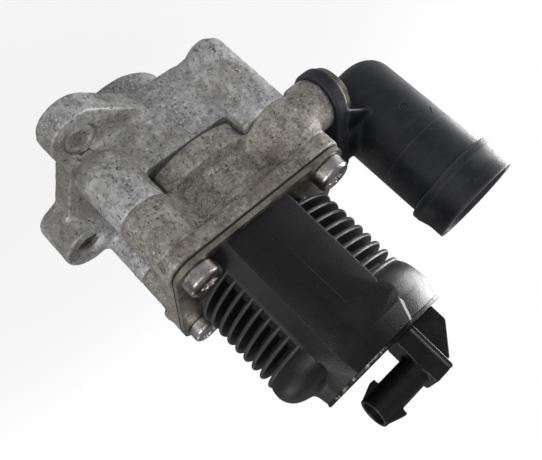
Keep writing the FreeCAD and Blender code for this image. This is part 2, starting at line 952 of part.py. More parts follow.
def check_retainer():
    """The spoked ring that guides the check disc, held under the drum's nose."""
    bottom = s.step_level
    top = bottom + s.retainer_plate
    rim = ring("retainer_rim", s.check_bore, s.housing_bore - s.slide_clear, bottom, top)
    hub = cylinder(s.retainer_hub, bottom, top + s.retainer_hub_rise)
    reach = s.check_bore + s.retainer_plate / 2
    half = s.spoke_width / 2
    spokes = (
        box(-reach, reach, -half, half, bottom, top),
        box(-half, half, -reach, reach, bottom, top),
    )
    bore = cylinder(s.check_stem + s.slide_clear, bottom, top + s.retainer_hub_rise)
    return cut(fused(rim, hub, *spokes), bore)


def check_spring():
    """The light spring that holds the check disc up."""
    return spring(s.check_spring_radius, s.check_wire, s.check_turns,
                  s.step_level + s.retainer_plate, check_bottom)


def fins():
    """The solenoid housing's round fins, each a disc with a rounded rim."""
    discs = []
    half = s.fin_thick / 2
    bevel = s.fin_thick / 3
    for index in range(int(s.fin_count.number)):
        level = s.last_fin - s.fin_pitch * index
        discs.append(turned(f"fin_{index + 1}", level - half, (
            (0, 0),
            (s.fin_radius - half, 0),
            (s.fin_radius, bevel),
            (s.fin_radius, s.fin_thick - bevel),
            (s.fin_radius - half, s.fin_thick),
            (0, s.fin_thick),
        )))
    return discs


def swept_cap():
    """The housing's end: circles that share their -X side while the +X side sweeps in."""
    rim = s.fin_radius + s.cap_rim
    height = s.cap_top - s.last_fin
    # each circle's share of the height and of the sweep
    stations = ((0, 0), (0.33, 0), (0.5, 0.17), (0.61, 0.42), (0.67, 0.7), (0.72, 0.88),
                (0.88, 1), (1, 1))
    circles = []
    for rise, sweep in stations:
        circle = doc.addObject("Part::Circle", "cap_circle")
        bind(circle, "Radius", rim + s.cap_shift * sweep)
        circles.append(place(circle, s.cap_shift * sweep, 0, s.last_fin + height * rise))
    loft = doc.addObject("Part::Loft", "swept_cap")
    loft.Sections = circles
    loft.Solid = True
    loft.Ruled = True
    return loft


def front_pad():
    """The flat pad on the fins' front, with bevelled sides."""
    half = s.pad_half
    back = s.cavity_radius + s.pad_bevel
    pad = padded_outline("front_pad", (
        (s.pad_shift - half - s.pad_bevel, -back),
        (s.pad_shift - half, -s.pad_front),
        (s.pad_shift + half, -s.pad_front),
        (s.pad_shift + half + s.pad_bevel, -back),
    ), s.last_fin + s.fin_pitch * 2 - plate_top)
    return place(pad, 0, 0, plate_top)


def pad_foot():
    """The pad's lower end, which runs on over the swept cap down to the plate."""
    half = s.pad_half
    back = s.cavity_radius + s.pad_bevel
    foot_bottom = s.last_fin + s.fin_pitch * 2
    foot = padded_outline("pad_foot", (
        (s.pad_shift - half - s.pad_bevel, -s.pad_shift),
        (s.pad_shift - half - s.pad_bevel, -back),
        (s.pad_shift - half, -s.pad_front),
        (s.pad_shift + half, -s.pad_front),
        (s.pad_shift + half + s.pad_bevel / 2, -back),
        (s.pad_shift + half + s.pad_bevel / 2, -s.pad_shift),
    ), s.cap_top - foot_bottom)
    return place(foot, 0, 0, foot_bottom)


def solenoid_housing():
    """The black finned housing with its pad and swept end."""
    root = cylinder(s.fin_root, plate_top, s.last_fin)
    cavity = cylinder(s.cavity_radius, plate_top, s.cavity_top)
    trim = box(s.pad_shift - s.pad_half, s.pad_shift + s.pad_half, -s.fin_radius * 2,
               -s.pad_front, plate_top, s.last_fin + s.fin_pitch)
    finned = cut(fused(root, *fins()), trim)
    heads = [
        cylinder(s.screw_head_radius + s.rest_gap, plate_top,
                 plate_top + s.screw_head + s.rest_gap, x, y)
        for x, y, radius, joint in COLUMNS
    ]
    return cut(fused(finned, swept_cap(), front_pad(), pad_foot()), cavity,
               key_hole(s.press_clear, s.cavity_top, s.cap_top), *heads)


def end_plate():
    """The thin steel plate on the housing's end, with a small rim."""
    radius = s.fin_radius + s.cap_rim + s.cap_shift + s.end_rim
    plate = cylinder(radius, s.cap_top, s.cap_top + s.end_plate, s.cap_shift)
    return cut(plate, key_hole(s.press_clear, s.cap_top, s.cap_top + s.end_plate))


def connector_web():
    """The tapered web behind the connector's block."""
    foot = s.cap_top + s.end_plate
    height = s.connector_top - foot - s.shell_corner
    web = padded_outline("connector_web", (
        (0, 0),
        (-s.web_foot, 0),
        (-s.web_foot, s.web_step),
        (-s.web_tip, height),
        (0, height),
    ), s.web_thick, "XZ_Plane")
    return place(web, s.block_left, s.web_thick / 2, foot)


def connector_block(half, right, corner):
    """The connector's block or its wider back plate, with cut outer corners."""
    foot = s.cap_top + s.end_plate
    width = right - s.block_left
    height = s.connector_top - foot
    block = padded_outline("connector_block", (
        (0, 0),
        (width, 0),
        (width, height - corner / 3),
        (width - corner / 3, height),
        (corner, height),
        (corner / 4, height - corner / 4),
        (0, height - corner),
    ), half * 2, "XZ_Plane")
    return place(block, s.block_left, half, foot)


def latch_lugs():
    """Two wedge lugs on the barrel, steep towards the block."""
    reach = s.barrel_radius + s.latch_rise
    lugs = padded_outline("latch_lugs", (
        (0, -reach),
        (0, reach),
        (s.latch_flat, reach),
        (s.latch_length, s.barrel_radius),
        (s.latch_length, -s.barrel_radius),
        (s.latch_flat, -reach),
    ), s.latch_width, "XZ_Plane")
    return place(lugs, s.latch_start, s.latch_width / 2, s.barrel_level)


def connector_shell():
    """The connector: block, web, keyed foot, open barrel and two latch lugs."""
    foot = s.cap_top + s.end_plate
    block = connector_block(s.block_half, s.block_right, s.shell_corner)
    plate = connector_block(s.block_plate_half, s.block_left + s.block_plate, s.plate_corner)
    bottom, spool_top = spool_span()
    key = key_hole(as_size(0), spool_top + s.rest_gap, foot)
    barrel = cylinder_x(s.barrel_radius, s.block_right - s.block_half, s.barrel_end,
                        0, s.barrel_level)
    socket = cylinder_x(s.socket_radius, s.barrel_end - s.socket_depth, s.barrel_end,
                        0, s.barrel_level)
    pins = pin_boxes(s.press_clear, s.barrel_end - s.socket_depth)
    return cut(fused(block, plate, connector_web(), key, barrel, latch_lugs()), socket, *pins)


def pin_boxes(clear, end):
    """The two terminals' bent bars, grown by a clearance for their pockets."""
    bars = []
    half = s.pin_size / 2 + clear
    riser = s.key_left + s.key_x / 2
    pin_foot = spool_span()[1] - s.spool_flange / 2
    for side in (-1, 1):
        y = side * s.pin_pitch / 2
        bars.append(box(riser - half, riser + half, y - half, y + half,
                        pin_foot - clear, s.barrel_level + half))
        bars.append(box(riser - half, end, y - half, y + half,
                        s.barrel_level - half, s.barrel_level + half))
    return bars


def terminal_pins():
    """Two bent terminals from the coil to the connector's socket."""
    tip = s.barrel_end - s.socket_depth + s.pin_length
    bars = pin_boxes(as_size(0), tip)
    group = doc.addObject("Part::Compound", "terminal_pins")
    group.Links = [fused(bars[0], bars[1]), fused(bars[2], bars[3])]
    return group


def elbow_plate():
    """The elbow's collar plate with its ear, drawn in the port's plane."""
    ear = (s.ear_level, s.ear_y, s.ear_radius)
    port = (s.port_level, as_size(0), s.collar_radius)
    plate = hull(ear, port, as_size(0), s.collar)
    holder = doc.addObject("Part::Compound", "elbow_plate")
    holder.Links = [plate]
    turn(holder, Y_AXIS, -90)
    return place(holder, -s.port_face, 0, 0)


def elbow():
    """The black hose elbow: closed round foot, hose bead, leg, nose, ear and gusset."""
    round_steps = 6
    steps = [math.pi / 2 * index / round_steps for index in range(round_steps + 1)]
    rounding = [
        (s.tube_radius - s.tube_round * (1 - math.sin(step)),
         s.tube_round * (1 - math.cos(step)))
        for step in steps
    ]
    outer = turned("elbow_tube", s.tube_foot, (
        (0, 0),
        *rounding,
        (s.tube_radius, s.bead_start - s.tube_foot),
        (s.tube_radius + s.bead_rise, s.bead_top - s.tube_foot),
        (s.tube_radius + s.bead_rise, s.bead_land - s.tube_foot),
        (s.tube_radius + s.mouth_rise, s.bead_end - s.tube_foot),
        (s.tube_radius + s.mouth_rise, s.tube_mouth - s.tube_foot),
        (0, s.tube_mouth - s.tube_foot),
    ), s.tube_x)
    plate_left = -s.port_face - s.collar
    leg = cylinder_x(s.leg_radius, s.tube_x, plate_left, 0, s.port_level)
    nose = cylinder_x(s.port_bore - s.slide_clear, plate_left, s.nose_length - s.port_face,
                      0, s.port_level)
    gusset = box(s.tube_x + s.tube_radius - s.gusset_rise, plate_left,
                 s.ear_y + s.ear_radius, s.ear_y + s.ear_radius + s.gusset_thick + s.gusset_rise,
                 s.gusset_level, s.gusset_level + s.gusset_thick)
    bore = s.tube_radius - s.tube_wall
    groove_left = s.nose_length / 2 - s.port_face - s.seal_section / 2
    groove_right = groove_left + s.seal_section
    tools = [
        cylinder(bore, s.tube_foot + s.tube_round, s.tube_mouth, s.tube_x),
        cone(s.tube_round, bore, s.tube_foot + s.tube_wall, s.tube_foot + s.tube_round, s.tube_x),
        cylinder_x(s.leg_bore, s.tube_x, s.nose_length - s.port_face, 0, s.port_level),
        cylinder_x(s.elbow_bush_radius + s.press_clear, plate_left, -s.port_face,
                   s.ear_y, s.ear_level),
        cut(cylinder_x(s.port_bore, groove_left, groove_right, 0, s.port_level),
            cylinder_x(s.leg_bore + s.seal_section / 2, groove_left, groove_right,
                       0, s.port_level)),
    ]
    return cut(fused(outer, elbow_plate(), leg, nose, gusset), *tools)


def elbow_ring():
    """The seal ring on the elbow's nose."""
    clear = s.press_clear
    width = s.seal_section - 2 * clear
    inner = s.leg_bore + s.seal_section / 2 + clear
    outer = s.port_bore - clear
    right = s.nose_length / 2 - s.port_face + s.seal_section / 2 - clear
    return turned_along_x("elbow_ring", right,
                          ((inner, 0), (outer, 0), (outer, width), (inner, width)),
                          0, s.port_level)


def elbow_bush():
    """The metal compression limiter in the elbow's ear."""
    inner = s.screw_radius + s.hole_clear
    outer = s.elbow_bush_radius
    return turned_along_x("elbow_bush", -s.port_face,
                          ((inner, 0), (outer, 0), (outer, s.collar), (inner, s.collar)),
                          s.ear_y, s.ear_level)


def elbow_screw():
    """The flanged screw through the elbow's ear."""
    length = s.elbow_screw_depth + s.collar - s.rest_gap
    tip = s.elbow_screw_depth - s.port_face - s.rest_gap
    screw = turned_along_x("elbow_screw_shank", tip,
                           pan_screw_points(s.elbow_head_radius, s.elbow_head, length),
                           s.ear_y, s.ear_level)
    end = -s.port_face - s.collar - s.elbow_head
    recess = cylinder_x(s.recess_radius, end, end + s.recess_depth, s.ear_y, s.ear_level)
    return cut(screw, recess)


MAKERS = (
    mounting_housing, outlet_seal, valve_body, flange_gasket, solenoid_flange, flange_screws,
    valve_seat, poppet_seal, poppet_plate, spindle_nut, spindle, spring_cup, return_spring,
    spindle_bush, spindle_seal, armature, armature_sleeve, fixed_core, flux_can, coil_bobbin,
    coil_winding, check_disc, check_retainer, check_spring, solenoid_housing, end_plate,
    connector_shell, terminal_pins, elbow, elbow_ring, elbow_bush, elbow_screw,
)

nodes = {}
for maker in MAKERS:
    nodes[maker.__name__] = maker()
doc.recompute()

for thing in doc.Objects:
    if "Invalid" in thing.State or "Error" in thing.State:
        raise RuntimeError(f"{thing.Name} ({thing.TypeId}) failed: {thing.State}")

os.makedirs("parts", exist_ok=True)
for name, thing in nodes.items():
    thing.Label = name
    shape = thing.Shape
    if shape.isNull() or not shape.isValid() or not shape.Solids:
        raise RuntimeError(f"{name} has no valid solid")
    shape.exportStep(f"parts/{name}.step")
    print(f"{name}: {len(shape.Solids)} solid, {shape.Volume:.0f} mm3, {len(shape.Faces)} faces")
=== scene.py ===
import json
import math

import bmesh
import bpy
import numpy as np
from bpy.props import FloatProperty, FloatVectorProperty, IntProperty, PointerProperty
from mathutils import Matrix, Vector


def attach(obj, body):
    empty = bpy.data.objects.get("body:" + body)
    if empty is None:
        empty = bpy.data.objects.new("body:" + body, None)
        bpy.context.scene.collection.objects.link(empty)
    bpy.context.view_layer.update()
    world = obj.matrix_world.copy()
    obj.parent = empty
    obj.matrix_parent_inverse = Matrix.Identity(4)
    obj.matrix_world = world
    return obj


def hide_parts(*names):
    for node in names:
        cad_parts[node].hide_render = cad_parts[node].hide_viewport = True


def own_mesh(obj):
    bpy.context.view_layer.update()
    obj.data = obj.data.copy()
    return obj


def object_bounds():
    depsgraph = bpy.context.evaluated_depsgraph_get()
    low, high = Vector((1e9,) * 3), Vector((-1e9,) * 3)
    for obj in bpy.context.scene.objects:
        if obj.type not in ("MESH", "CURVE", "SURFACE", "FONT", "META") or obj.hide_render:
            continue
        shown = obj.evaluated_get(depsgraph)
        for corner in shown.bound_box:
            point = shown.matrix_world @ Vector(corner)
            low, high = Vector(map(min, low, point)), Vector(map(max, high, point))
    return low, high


bl_info = {
    "name": "Secondary air valve",
    "version": (1, 0, 0),
    "blender": (4, 5, 0),
    "location": "3D View > Sidebar > Air valve",
    "description": "Dresses the packed secondary air valve with detailed pieces and finishes",
    "category": "Object",
}

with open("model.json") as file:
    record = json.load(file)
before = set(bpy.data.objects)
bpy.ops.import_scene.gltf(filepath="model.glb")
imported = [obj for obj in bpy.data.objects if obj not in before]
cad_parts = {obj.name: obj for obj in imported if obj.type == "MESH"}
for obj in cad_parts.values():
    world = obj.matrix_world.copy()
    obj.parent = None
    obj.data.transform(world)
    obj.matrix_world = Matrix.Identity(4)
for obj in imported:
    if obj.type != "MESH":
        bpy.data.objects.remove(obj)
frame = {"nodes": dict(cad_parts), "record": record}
cad_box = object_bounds()
nodes = frame["nodes"]

MM = 0.001
Z_AXIS = Vector((0, 0, 1))


# settings that a user would change

class ValveShapes(bpy.types.PropertyGroup):
    """Sizes of the detail that the castings and mouldings get."""

    cast_fillet: FloatProperty(
        name="Cast fillet", description="Fillet radius in the castings' inner corners",
        default=1.0 * MM, min=0, unit="LENGTH")
    cast_voxel: FloatProperty(
        name="Cast detail", description="Size of the castings' surface cells",
        default=0.36 * MM, min=0.2 * MM, unit="LENGTH")
    moulded_fillet: FloatProperty(
        name="Moulded fillet", description="Fillet radius in the plastic mouldings' inner corners",
        default=0.8 * MM, min=0, unit="LENGTH")
    moulded_voxel: FloatProperty(
        name="Moulded detail", description="Size of the plastic mouldings' surface cells",
        default=0.32 * MM, min=0.2 * MM, unit="LENGTH")
    turned_segments: IntProperty(
        name="Turned segments", description="Segments round each turned piece",
        default=96, min=24)


class ValveColours(bpy.types.PropertyGroup):
    """Colours of the visible finishes."""

    light_casting: FloatVectorProperty(
        name="Light casting", description="Colour of the mounting casting",
        default=(0.70, 0.70, 0.70), subtype="COLOR", min=0, max=1)
    dark_casting: FloatVectorProperty(
        name="Dark casting", description="Colour of the valve body casting",
        default=(0.53, 0.50, 0.45), subtype="COLOR", min=0, max=1)
    moulding: FloatVectorProperty(
        name="Moulding", description="Colour of the black plastic",
        default=(0.008, 0.008, 0.009), subtype="COLOR", min=0, max=1)
    background: FloatVectorProperty(
        name="Background", description="Colour of the floor and backdrop",
        default=(1, 1, 1), subtype="COLOR", min=0, max=1)


class ValveStudio(bpy.types.PropertyGroup):
    """The studio's light and camera."""

    lens: FloatProperty(
        name="Lens", description="The camera's focal length in millimetres",
        default=40.43, min=10)
    sky: FloatProperty(
        name="Sky", description="Strength of the even light from all round",
        default=0.17, min=0)
    lamps: FloatProperty(
        name="Lamps", description="Strength of the soft lamps, as a share of the first setting",
        default=1.0, min=0)


# mesh work

def new_piece(name, mesh):
    """A linked object of a mesh."""
    piece = bpy.data.objects.new(name, mesh)
    bpy.context.scene.collection.objects.link(piece)
    return piece


def drop_piece(piece):
    """Remove a helper object and its mesh."""
    mesh = piece.data
    bpy.data.objects.remove(piece)
    bpy.data.meshes.remove(mesh)


def mesh_from(work, name):
    """A mesh of a bmesh, which is freed."""
    bmesh.ops.recalc_face_normals(work, faces=work.faces)
    mesh = bpy.data.meshes.new(name)
    work.to_mesh(mesh)
    work.free()
    return mesh


def welded_copy(node):
    """A closed copy of a CAD node's mesh."""
    work = bmesh.new()
    work.from_mesh(nodes[node].data)
    bmesh.ops.remove_doubles(work, verts=work.verts, dist=0.002 * MM)
    mesh = bpy.data.meshes.new(node + "_copy")
    work.to_mesh(mesh)
    work.free()
    return mesh


def modified(mesh, kind, **settings):
    """The mesh after one modifier; the old mesh is removed."""
    piece = new_piece("helper", mesh)
    modifier = piece.modifiers.new("step", kind)
    for field, value in settings.items():
        setattr(modifier, field, value)
    ready = piece.evaluated_get(bpy.context.evaluated_depsgraph_get())
    result = bpy.data.meshes.new_from_object(ready)
    drop_piece(piece)
    return result


def voxelled(mesh, cell):
    """The mesh rebuilt from even cells."""
    return modified(mesh, "REMESH", mode="VOXEL", voxel_size=cell, adaptivity=0)


def joined_by(mesh, tool, operation):
    """Two closed meshes joined or cut; both are removed."""
    holder = new_piece("tool", tool)
    result = modified(mesh, "BOOLEAN", object=holder, operation=operation, solver="MANIFOLD")
    if len(result.polygons) == 0:
        raise RuntimeError(f"{operation} left an empty mesh")
    drop_piece(holder)
    return result


def places(mesh):
    """The mesh's points as an array."""
    points = np.zeros(len(mesh.vertices) * 3, np.float32)
    mesh.vertices.foreach_get("co", points)
    return points.reshape(-1, 3).astype(np.float64)


def set_places(mesh, points):
    """Move the mesh's points to an array of places."""
    mesh.vertices.foreach_set("co", points.astype(np.float32).ravel())
    mesh.update()


def point_normals(mesh):
    """The mesh's point normals as an array."""
    normals = np.zeros(len(mesh.vertices) * 3, np.float32)
    mesh.vertex_normals.foreach_get("vector", normals)
    return normals.reshape(-1, 3).astype(np.float64)


def edge_ends(mesh):
    """The point numbers at both ends of each edge."""
    ends = np.zeros(len(mesh.edges) * 2, np.int32)
    mesh.edges.foreach_get("vertices", ends)
    return ends.reshape(-1, 2)


def relaxed(points, ends, rounds, share=None):
    """The points after rounds of moving each towards its neighbours' middle."""
    count = np.bincount(ends.ravel(), minlength=len(points)).astype(float)
    count[count == 0] = 1
    step = 0.5 if share is None else 0.5 * share[:, None]
    for _ in range(rounds):
        middle = np.empty_like(points)
        for axis in range(3):
            total = np.bincount(ends[:, 0], points[ends[:, 1], axis], len(points))
            total += np.bincount(ends[:, 1], points[ends[:, 0], axis], len(points))
            middle[:, axis] = total / count
        points = points + (middle - points) * step
    return points


def offset(mesh, distance):
    """Move each point along its normal."""
    set_places(mesh, places(mesh) + point_normals(mesh) * distance)
    return mesh


def filleted(mesh, radius, cell):
    """Fill the inner corners with fillets: grow, rebuild, shrink, rebuild."""
    mesh = voxelled(mesh, cell)
    mesh = voxelled(offset(mesh, radius), cell)
    mesh = voxelled(offset(mesh, -radius), cell)
    return mesh


def softened(mesh, rounds, keep=None):
    """Round the outer edges by relaxing; keep gives 0 where a machined face stays crisp."""
    points = places(mesh)
    share = None if keep is None else keep(points)
    set_places(mesh, relaxed(points, edge_ends(mesh), rounds, share))
    return mesh


def wobbled(mesh, depth):
    """A gently uneven surface, as a casting has: a few crossing waves."""
    points = places(mesh) / MM
    lift = np.zeros(len(points))
    for way, length in (((1, 0.4, 0.2), 8.3), ((-0.3, 1, 0.5), 6.1), ((0.5, -0.2, 1), 7.2),
                        ((0.8, 0.7, -0.5), 3.9), ((-0.6, 0.5, 0.9), 3.1)):
        lift += np.sin(points @ np.array(way) * 2 * math.pi / length + length)
    set_places(mesh, points * MM + point_normals(mesh) * (lift * depth / 5)[:, None])
    return mesh


def raised_line(mesh, away, height, half):
    """Raise or sink a thin line where a distance in millimetres is near nothing."""
    points = places(mesh)
    normals = point_normals(mesh)
    share = np.clip(1 - np.abs(away(points / MM, normals)) / half, 0, 1)
    set_places(mesh, points + normals * (share * height * MM)[:, None])
    return mesh


def mark_hollows(mesh, reach, rounds):
    """Store how hollow and how edged each point is, for dirt with painted shade in the hollows and
    wear with a painted highlight on the edges.
    """
    points = places(mesh)
    smooth = relaxed(points, edge_ends(mesh), rounds)
    lift = ((smooth - points) * point_normals(mesh)).sum(axis=1) / reach
    store(mesh, "hollow", lift)
    store(mesh, "edge", -lift)
    return mesh


def store(mesh, name, values):
    """Keep a value from nothing to one on each of the mesh's points."""
    layer = mesh.attributes.get(name) or mesh.attributes.new(name, "FLOAT", "POINT")
    layer.data.foreach_set("value", np.clip(values, 0, 1).astype(np.float32))


def lathe(name, outline, segments=None, place=(0, 0, 0), axis=Z_AXIS):
    """A closed body turned from radius and height pairs, in millimetres."""
    segments = segments or bpy.context.scene.valve_shapes.turned_segments
    work = bmesh.new()
    turn = axis.to_track_quat("Z", "Y").to_matrix().to_4x4()
    turn.translation = Vector(place) * MM
    rings = []
    for radius, height in outline:
        if radius == 0:
            rings.append([work.verts.new(turn @ Vector((0, 0, height * MM)))])
            continue
        ring = []
        for index in range(segments):
            angle = 2 * math.pi * index / segments
            spot = Vector((radius * math.cos(angle), radius * math.sin(angle), height)) * MM
            ring.append(work.verts.new(turn @ spot))
        rings.append(ring)
    closed = outline[0][0] != 0
    pairs = list(zip(rings, rings[1:]))
    if closed:
        pairs.append((rings[-1], rings[0]))
    for lower, upper in pairs:
        skin_rings(work, lower, upper)
    return mesh_from(work, name)


def finer(outline, longest):
    """An outline whose long runs are divided, so that stored values stay local."""
    points = [outline[0]]
    for start, end in zip(outline, outline[1:]):
        count = max(1, math.ceil(math.dist(start, end) / longest))
        for step in range(1, count + 1):
            share = step / count
            points.append((start[0] + (end[0] - start[0]) * share,
                           start[1] + (end[1] - start[1]) * share))
    return points


def skin_rings(work, lower, upper):
    """Faces between two rings of points; a ring of one point is a tip."""
    if len(lower) == 1 and len(upper) == 1:
        return
    size = max(len(lower), len(upper))
    for index in range(size):
        after = (index + 1) % size
        if len(lower) == 1:
            work.faces.new((lower[0], upper[index], upper[after]))
        elif len(upper) == 1:
            work.faces.new((lower[index], lower[after], upper[0]))
        else:
            work.faces.new((lower[index], lower[after], upper[after], upper[index]))


def lofted(name, rings):
    """A closed body through rings of points, in millimetres."""
    work = bmesh.new()
    made = [[work.verts.new(Vector(spot) * MM) for spot in ring] for ring in rings]
    for lower, upper in zip(made, made[1:]):
        skin_rings(work, lower, upper)
    work.faces.new(list(reversed(made[0])))
    work.faces.new(made[-1])
    return mesh_from(work, name)


def circle(radius, x, y, z, segments):
    """The points of a level circle."""
    return [
        (x + radius * math.cos(2 * math.pi * index / segments),
         y + radius * math.sin(2 * math.pi * index / segments), z)
        for index in range(segments)
    ]


def block(low, high):
    """A closed box between two corners, in millimetres."""
    return lofted("block", [
        [(low[0], low[1], z), (high[0], low[1], z), (high[0], high[1], z), (low[0], high[1], z)]
        for z in (low[2], high[2])
    ])


def drilled(mesh, holes):
    """Cut upright or lying round holes: radius, start point, end point."""
    for radius, start, end in holes:
        start = Vector(start)
        reach = Vector(end) - start
        tool = lathe("drill", ((0, 0), (radius, 0), (radius, reach.length), (0, reach.length)),
                     64, start, reach.normalized())
        mesh = joined_by(mesh, tool, "DIFFERENCE")
    return mesh


def smooth_faces(mesh, angle=35):
    """Smooth shading that keeps edges sharper than an angle."""
    mesh.shade_smooth()
    if angle:
        mesh.set_sharp_from_angle(angle=math.radians(angle))
    return mesh


def finished_piece(name, mesh, material, slot, body, *replaced):
    """Link a piece, give it its finish, let it ride and stand for its CAD nodes."""
    piece = new_piece(name, mesh)
    piece.data.materials.clear()
    piece.data.materials.append(material)
    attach(piece, body)
    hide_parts(*replaced)
    return piece


# finishes

class Finish:
    """One material's nodes, with short calls for the ones it needs."""

    def __init__(self, name, **uniform):
        self.material = bpy.data.materials.new(name)
        self.material.use_nodes = True
        self.nodes = self.material.node_tree.nodes
        self.links = self.material.node_tree.links
        self.shader = self.nodes["Principled BSDF"]
        self.spot = self.nodes.new("ShaderNodeTexCoord").outputs["Object"]
        for socket, value in uniform.items():
            self.shader.inputs[socket.replace("_", " ")].default_value = value

    def put(self, socket, value):
        """Link an output, or set a number or colour."""
        if isinstance(value, bpy.types.NodeSocket):
            self.links.new(value, socket)
        else:
            socket.default_value = value

    def noise(self, size_mm, detail=3, rough=0.5, stretch=(1, 1, 1)):
        """Soft noise whose largest spots have about the given size."""
        node = self.nodes.new("ShaderNodeTexNoise")
        mapping = self.nodes.new("ShaderNodeMapping")
        mapping.inputs["Scale"].default_value = stretch
        self.links.new(self.spot, mapping.inputs["Vector"])
        self.links.new(mapping.outputs["Vector"], node.inputs["Vector"])
        node.inputs["Scale"].default_value = 1 / (size_mm * MM)
        node.inputs["Detail"].default_value = detail
        node.inputs["Roughness"].default_value = rough
        return node.outputs["Fac"]

    def cells(self, size_mm):
        """Distance to the nearest of scattered spots."""
        node = self.nodes.new("ShaderNodeTexVoronoi")
        self.links.new(self.spot, node.inputs["Vector"])
        node.inputs["Scale"].default_value = 1 / (size_mm * MM)
        return node.outputs["Distance"]

    def layer(self, name):
        """A value stored on the mesh's points."""
        node = self.nodes.new("ShaderNodeAttribute")
        node.attribute_name = name
        return node.outputs["Fac"]

    def axis(self, letter):
        """One coordinate of the surface point, in metres."""
        node = self.nodes.new("ShaderNodeSeparateXYZ")
        self.links.new(self.spot, node.inputs[0])
        return node.outputs[letter]

    def span(self, value, low, high, start=0.0, end=1.0):
        """Map a range of a value smoothly to another range."""
        node = self.nodes.new("ShaderNodeMapRange")
        node.interpolation_type = "SMOOTHSTEP"
        self.put(node.inputs["Value"], value)
        for field, number in (("From Min", low), ("From Max", high),
                              ("To Min", start), ("To Max", end)):
            node.inputs[field].default_value = number
        return node.outputs["Result"]

    def maths(self, operation, first, second=0.0):
        """One step of arithmetic on values."""
        node = self.nodes.new("ShaderNodeMath")
        node.operation = operation
        self.put(node.inputs[0], first)
        self.put(node.inputs[1], second)
        return node.outputs["Value"]

    def mixed(self, share, first, second):
        """Two colours mixed by a share."""
        node = self.nodes.new("ShaderNodeMix")
        node.data_type = "RGBA"
        self.put(node.inputs["Factor"], share)
        for socket, colour in ((node.inputs["A"], first), (node.inputs["B"], second)):
            if isinstance(colour, bpy.types.NodeSocket):
                self.links.new(colour, socket)
            else:
                socket.default_value = (*colour[:3], 1)
        return node.outputs["Result"]

    def bump(self, height, depth_mm, strength=1.0, under=None):
        """Raise the surface by a height times a depth."""
        node = self.nodes.new("ShaderNodeBump")
        node.inputs["Strength"].default_value = strength
        node.inputs["Distance"].default_value = depth_mm * MM
        self.links.new(height, node.inputs["Height"])
        if under is not None:
            self.links.new(under, node.inputs["Normal"])
        return node.outputs["Normal"]

    def done(self, colour=None, rough=None, normal=None):
        """Join the results to the shader."""
        for name, value in (("Base Color", colour), ("Roughness", rough), ("Normal", normal)):
            if value is not None:
                self.links.new(value, self.shader.inputs[name])
        return self.material


def darker(colour, share):
    """A colour times a share."""
    return tuple(channel * share for channel in colour[:3])


def cast_metal(name, colour, stain, grain_mm, stained):
    """Speckled cast aluminium with stains, dark pits, hollows darkened by dirt and painted shade,
    and edges lightened by wear and a painted highlight.
    """
    make = Finish(name, Metallic=0.5)
    cloud = make.span(make.noise(15, 5, 0.6), 0.35, 0.65)
    mottle = make.span(make.noise(3.4, 5, 0.65), 0.40, 0.62)
    light_speck = make.span(make.noise(grain_mm, 5, 0.8), 0.50, 0.64)
    dark_speck = make.span(make.noise(grain_mm * 1.2, 5, 0.8, (1, 1.03, 0.97)), 0.51, 0.64)
    tone = make.mixed(cloud, darker(colour, 0.85), darker(colour, 1.2))
    tone = make.mixed(make.maths("MULTIPLY", mottle, 0.75), tone, darker(colour, 0.50))
    tone = make.mixed(make.maths("MULTIPLY", light_speck, 0.85), tone, darker(colour, 1.6))
    tone = make.mixed(make.maths("MULTIPLY", dark_speck, 0.85), tone, darker(colour, 0.15))
    patch = make.span(make.noise(22, 6, 0.65), 0.48, 0.66, 0, stained)
    tone = make.mixed(patch, tone, stain)
    pits = make.span(make.noise(1.3, 2, 0.5, (1.1, 1, 0.9)), 0.68, 0.72, 0, 0.85)
    tone = make.mixed(pits, tone, darker(stain, 0.3))
    # Edges lighter: partly wear, partly a painted highlight along the edges.
    worn = make.span(make.layer("edge"), 0.25, 0.95, 0, 0.30)
    tone = make.mixed(worn, tone, darker(colour, 1.3))
    # Hollows darker: partly dirt, partly painted shade in the creases and corners.
    dirt_and_shade = make.span(make.layer("hollow"), 0.15, 0.85, 0, 0.9)
    tone = make.mixed(dirt_and_shade, tone, darker(stain, 0.25))
    rough = make.span(make.noise(3.5, 5, 0.65), 0.3, 0.7, 0.42, 0.62)
    normal = make.bump(make.cells(grain_mm * 1.5), 0.10, 0.45)
    normal = make.bump(make.noise(grain_mm, 5, 0.75), 0.20, 0.8, normal)
    normal = make.bump(make.noise(7, 4), 0.30, 0.35, normal)
    return make.done(tone, rough, normal)


def black_moulding(name, colour, grain_mm, depth_mm, gloss, dusty=0.5):
    """Black plastic with a fine spark grain, pale dust specks, faint scuffs and edges lightened as a
    painted highlight.
    """
    make = Finish(name, Specular_IOR_Level=0.5)
    dust = make.span(make.noise(7, 6, 0.7), 0.48, 0.75, 0, dusty)
    tone = make.mixed(dust, colour, (0.018, 0.018, 0.020))
    specks = make.span(make.noise(0.75, 2, 0.5), 0.73, 0.78, 0, dusty)
    tone = make.mixed(specks, tone, (0.11, 0.11, 0.11))
    scuffs = make.span(make.noise(1.6, 3, 0.6, (1.6, 1.2, 0.12)), 0.71, 0.75, 0, dusty)
    tone = make.mixed(scuffs, tone, (0.06, 0.06, 0.065))
    # Edges lighter: a painted highlight along rims and edges.
    tone = make.mixed(make.maths("MULTIPLY", make.layer("edge"), 0.6), tone, (0.10, 0.10, 0.105))
    rough = make.span(make.noise(5, 6, 0.65), 0.3, 0.7, gloss - 0.07, gloss + 0.10)
    normal = make.bump(make.noise(grain_mm, 2, 0.6), depth_mm, 0.8)
    return make.done(tone, rough, normal)


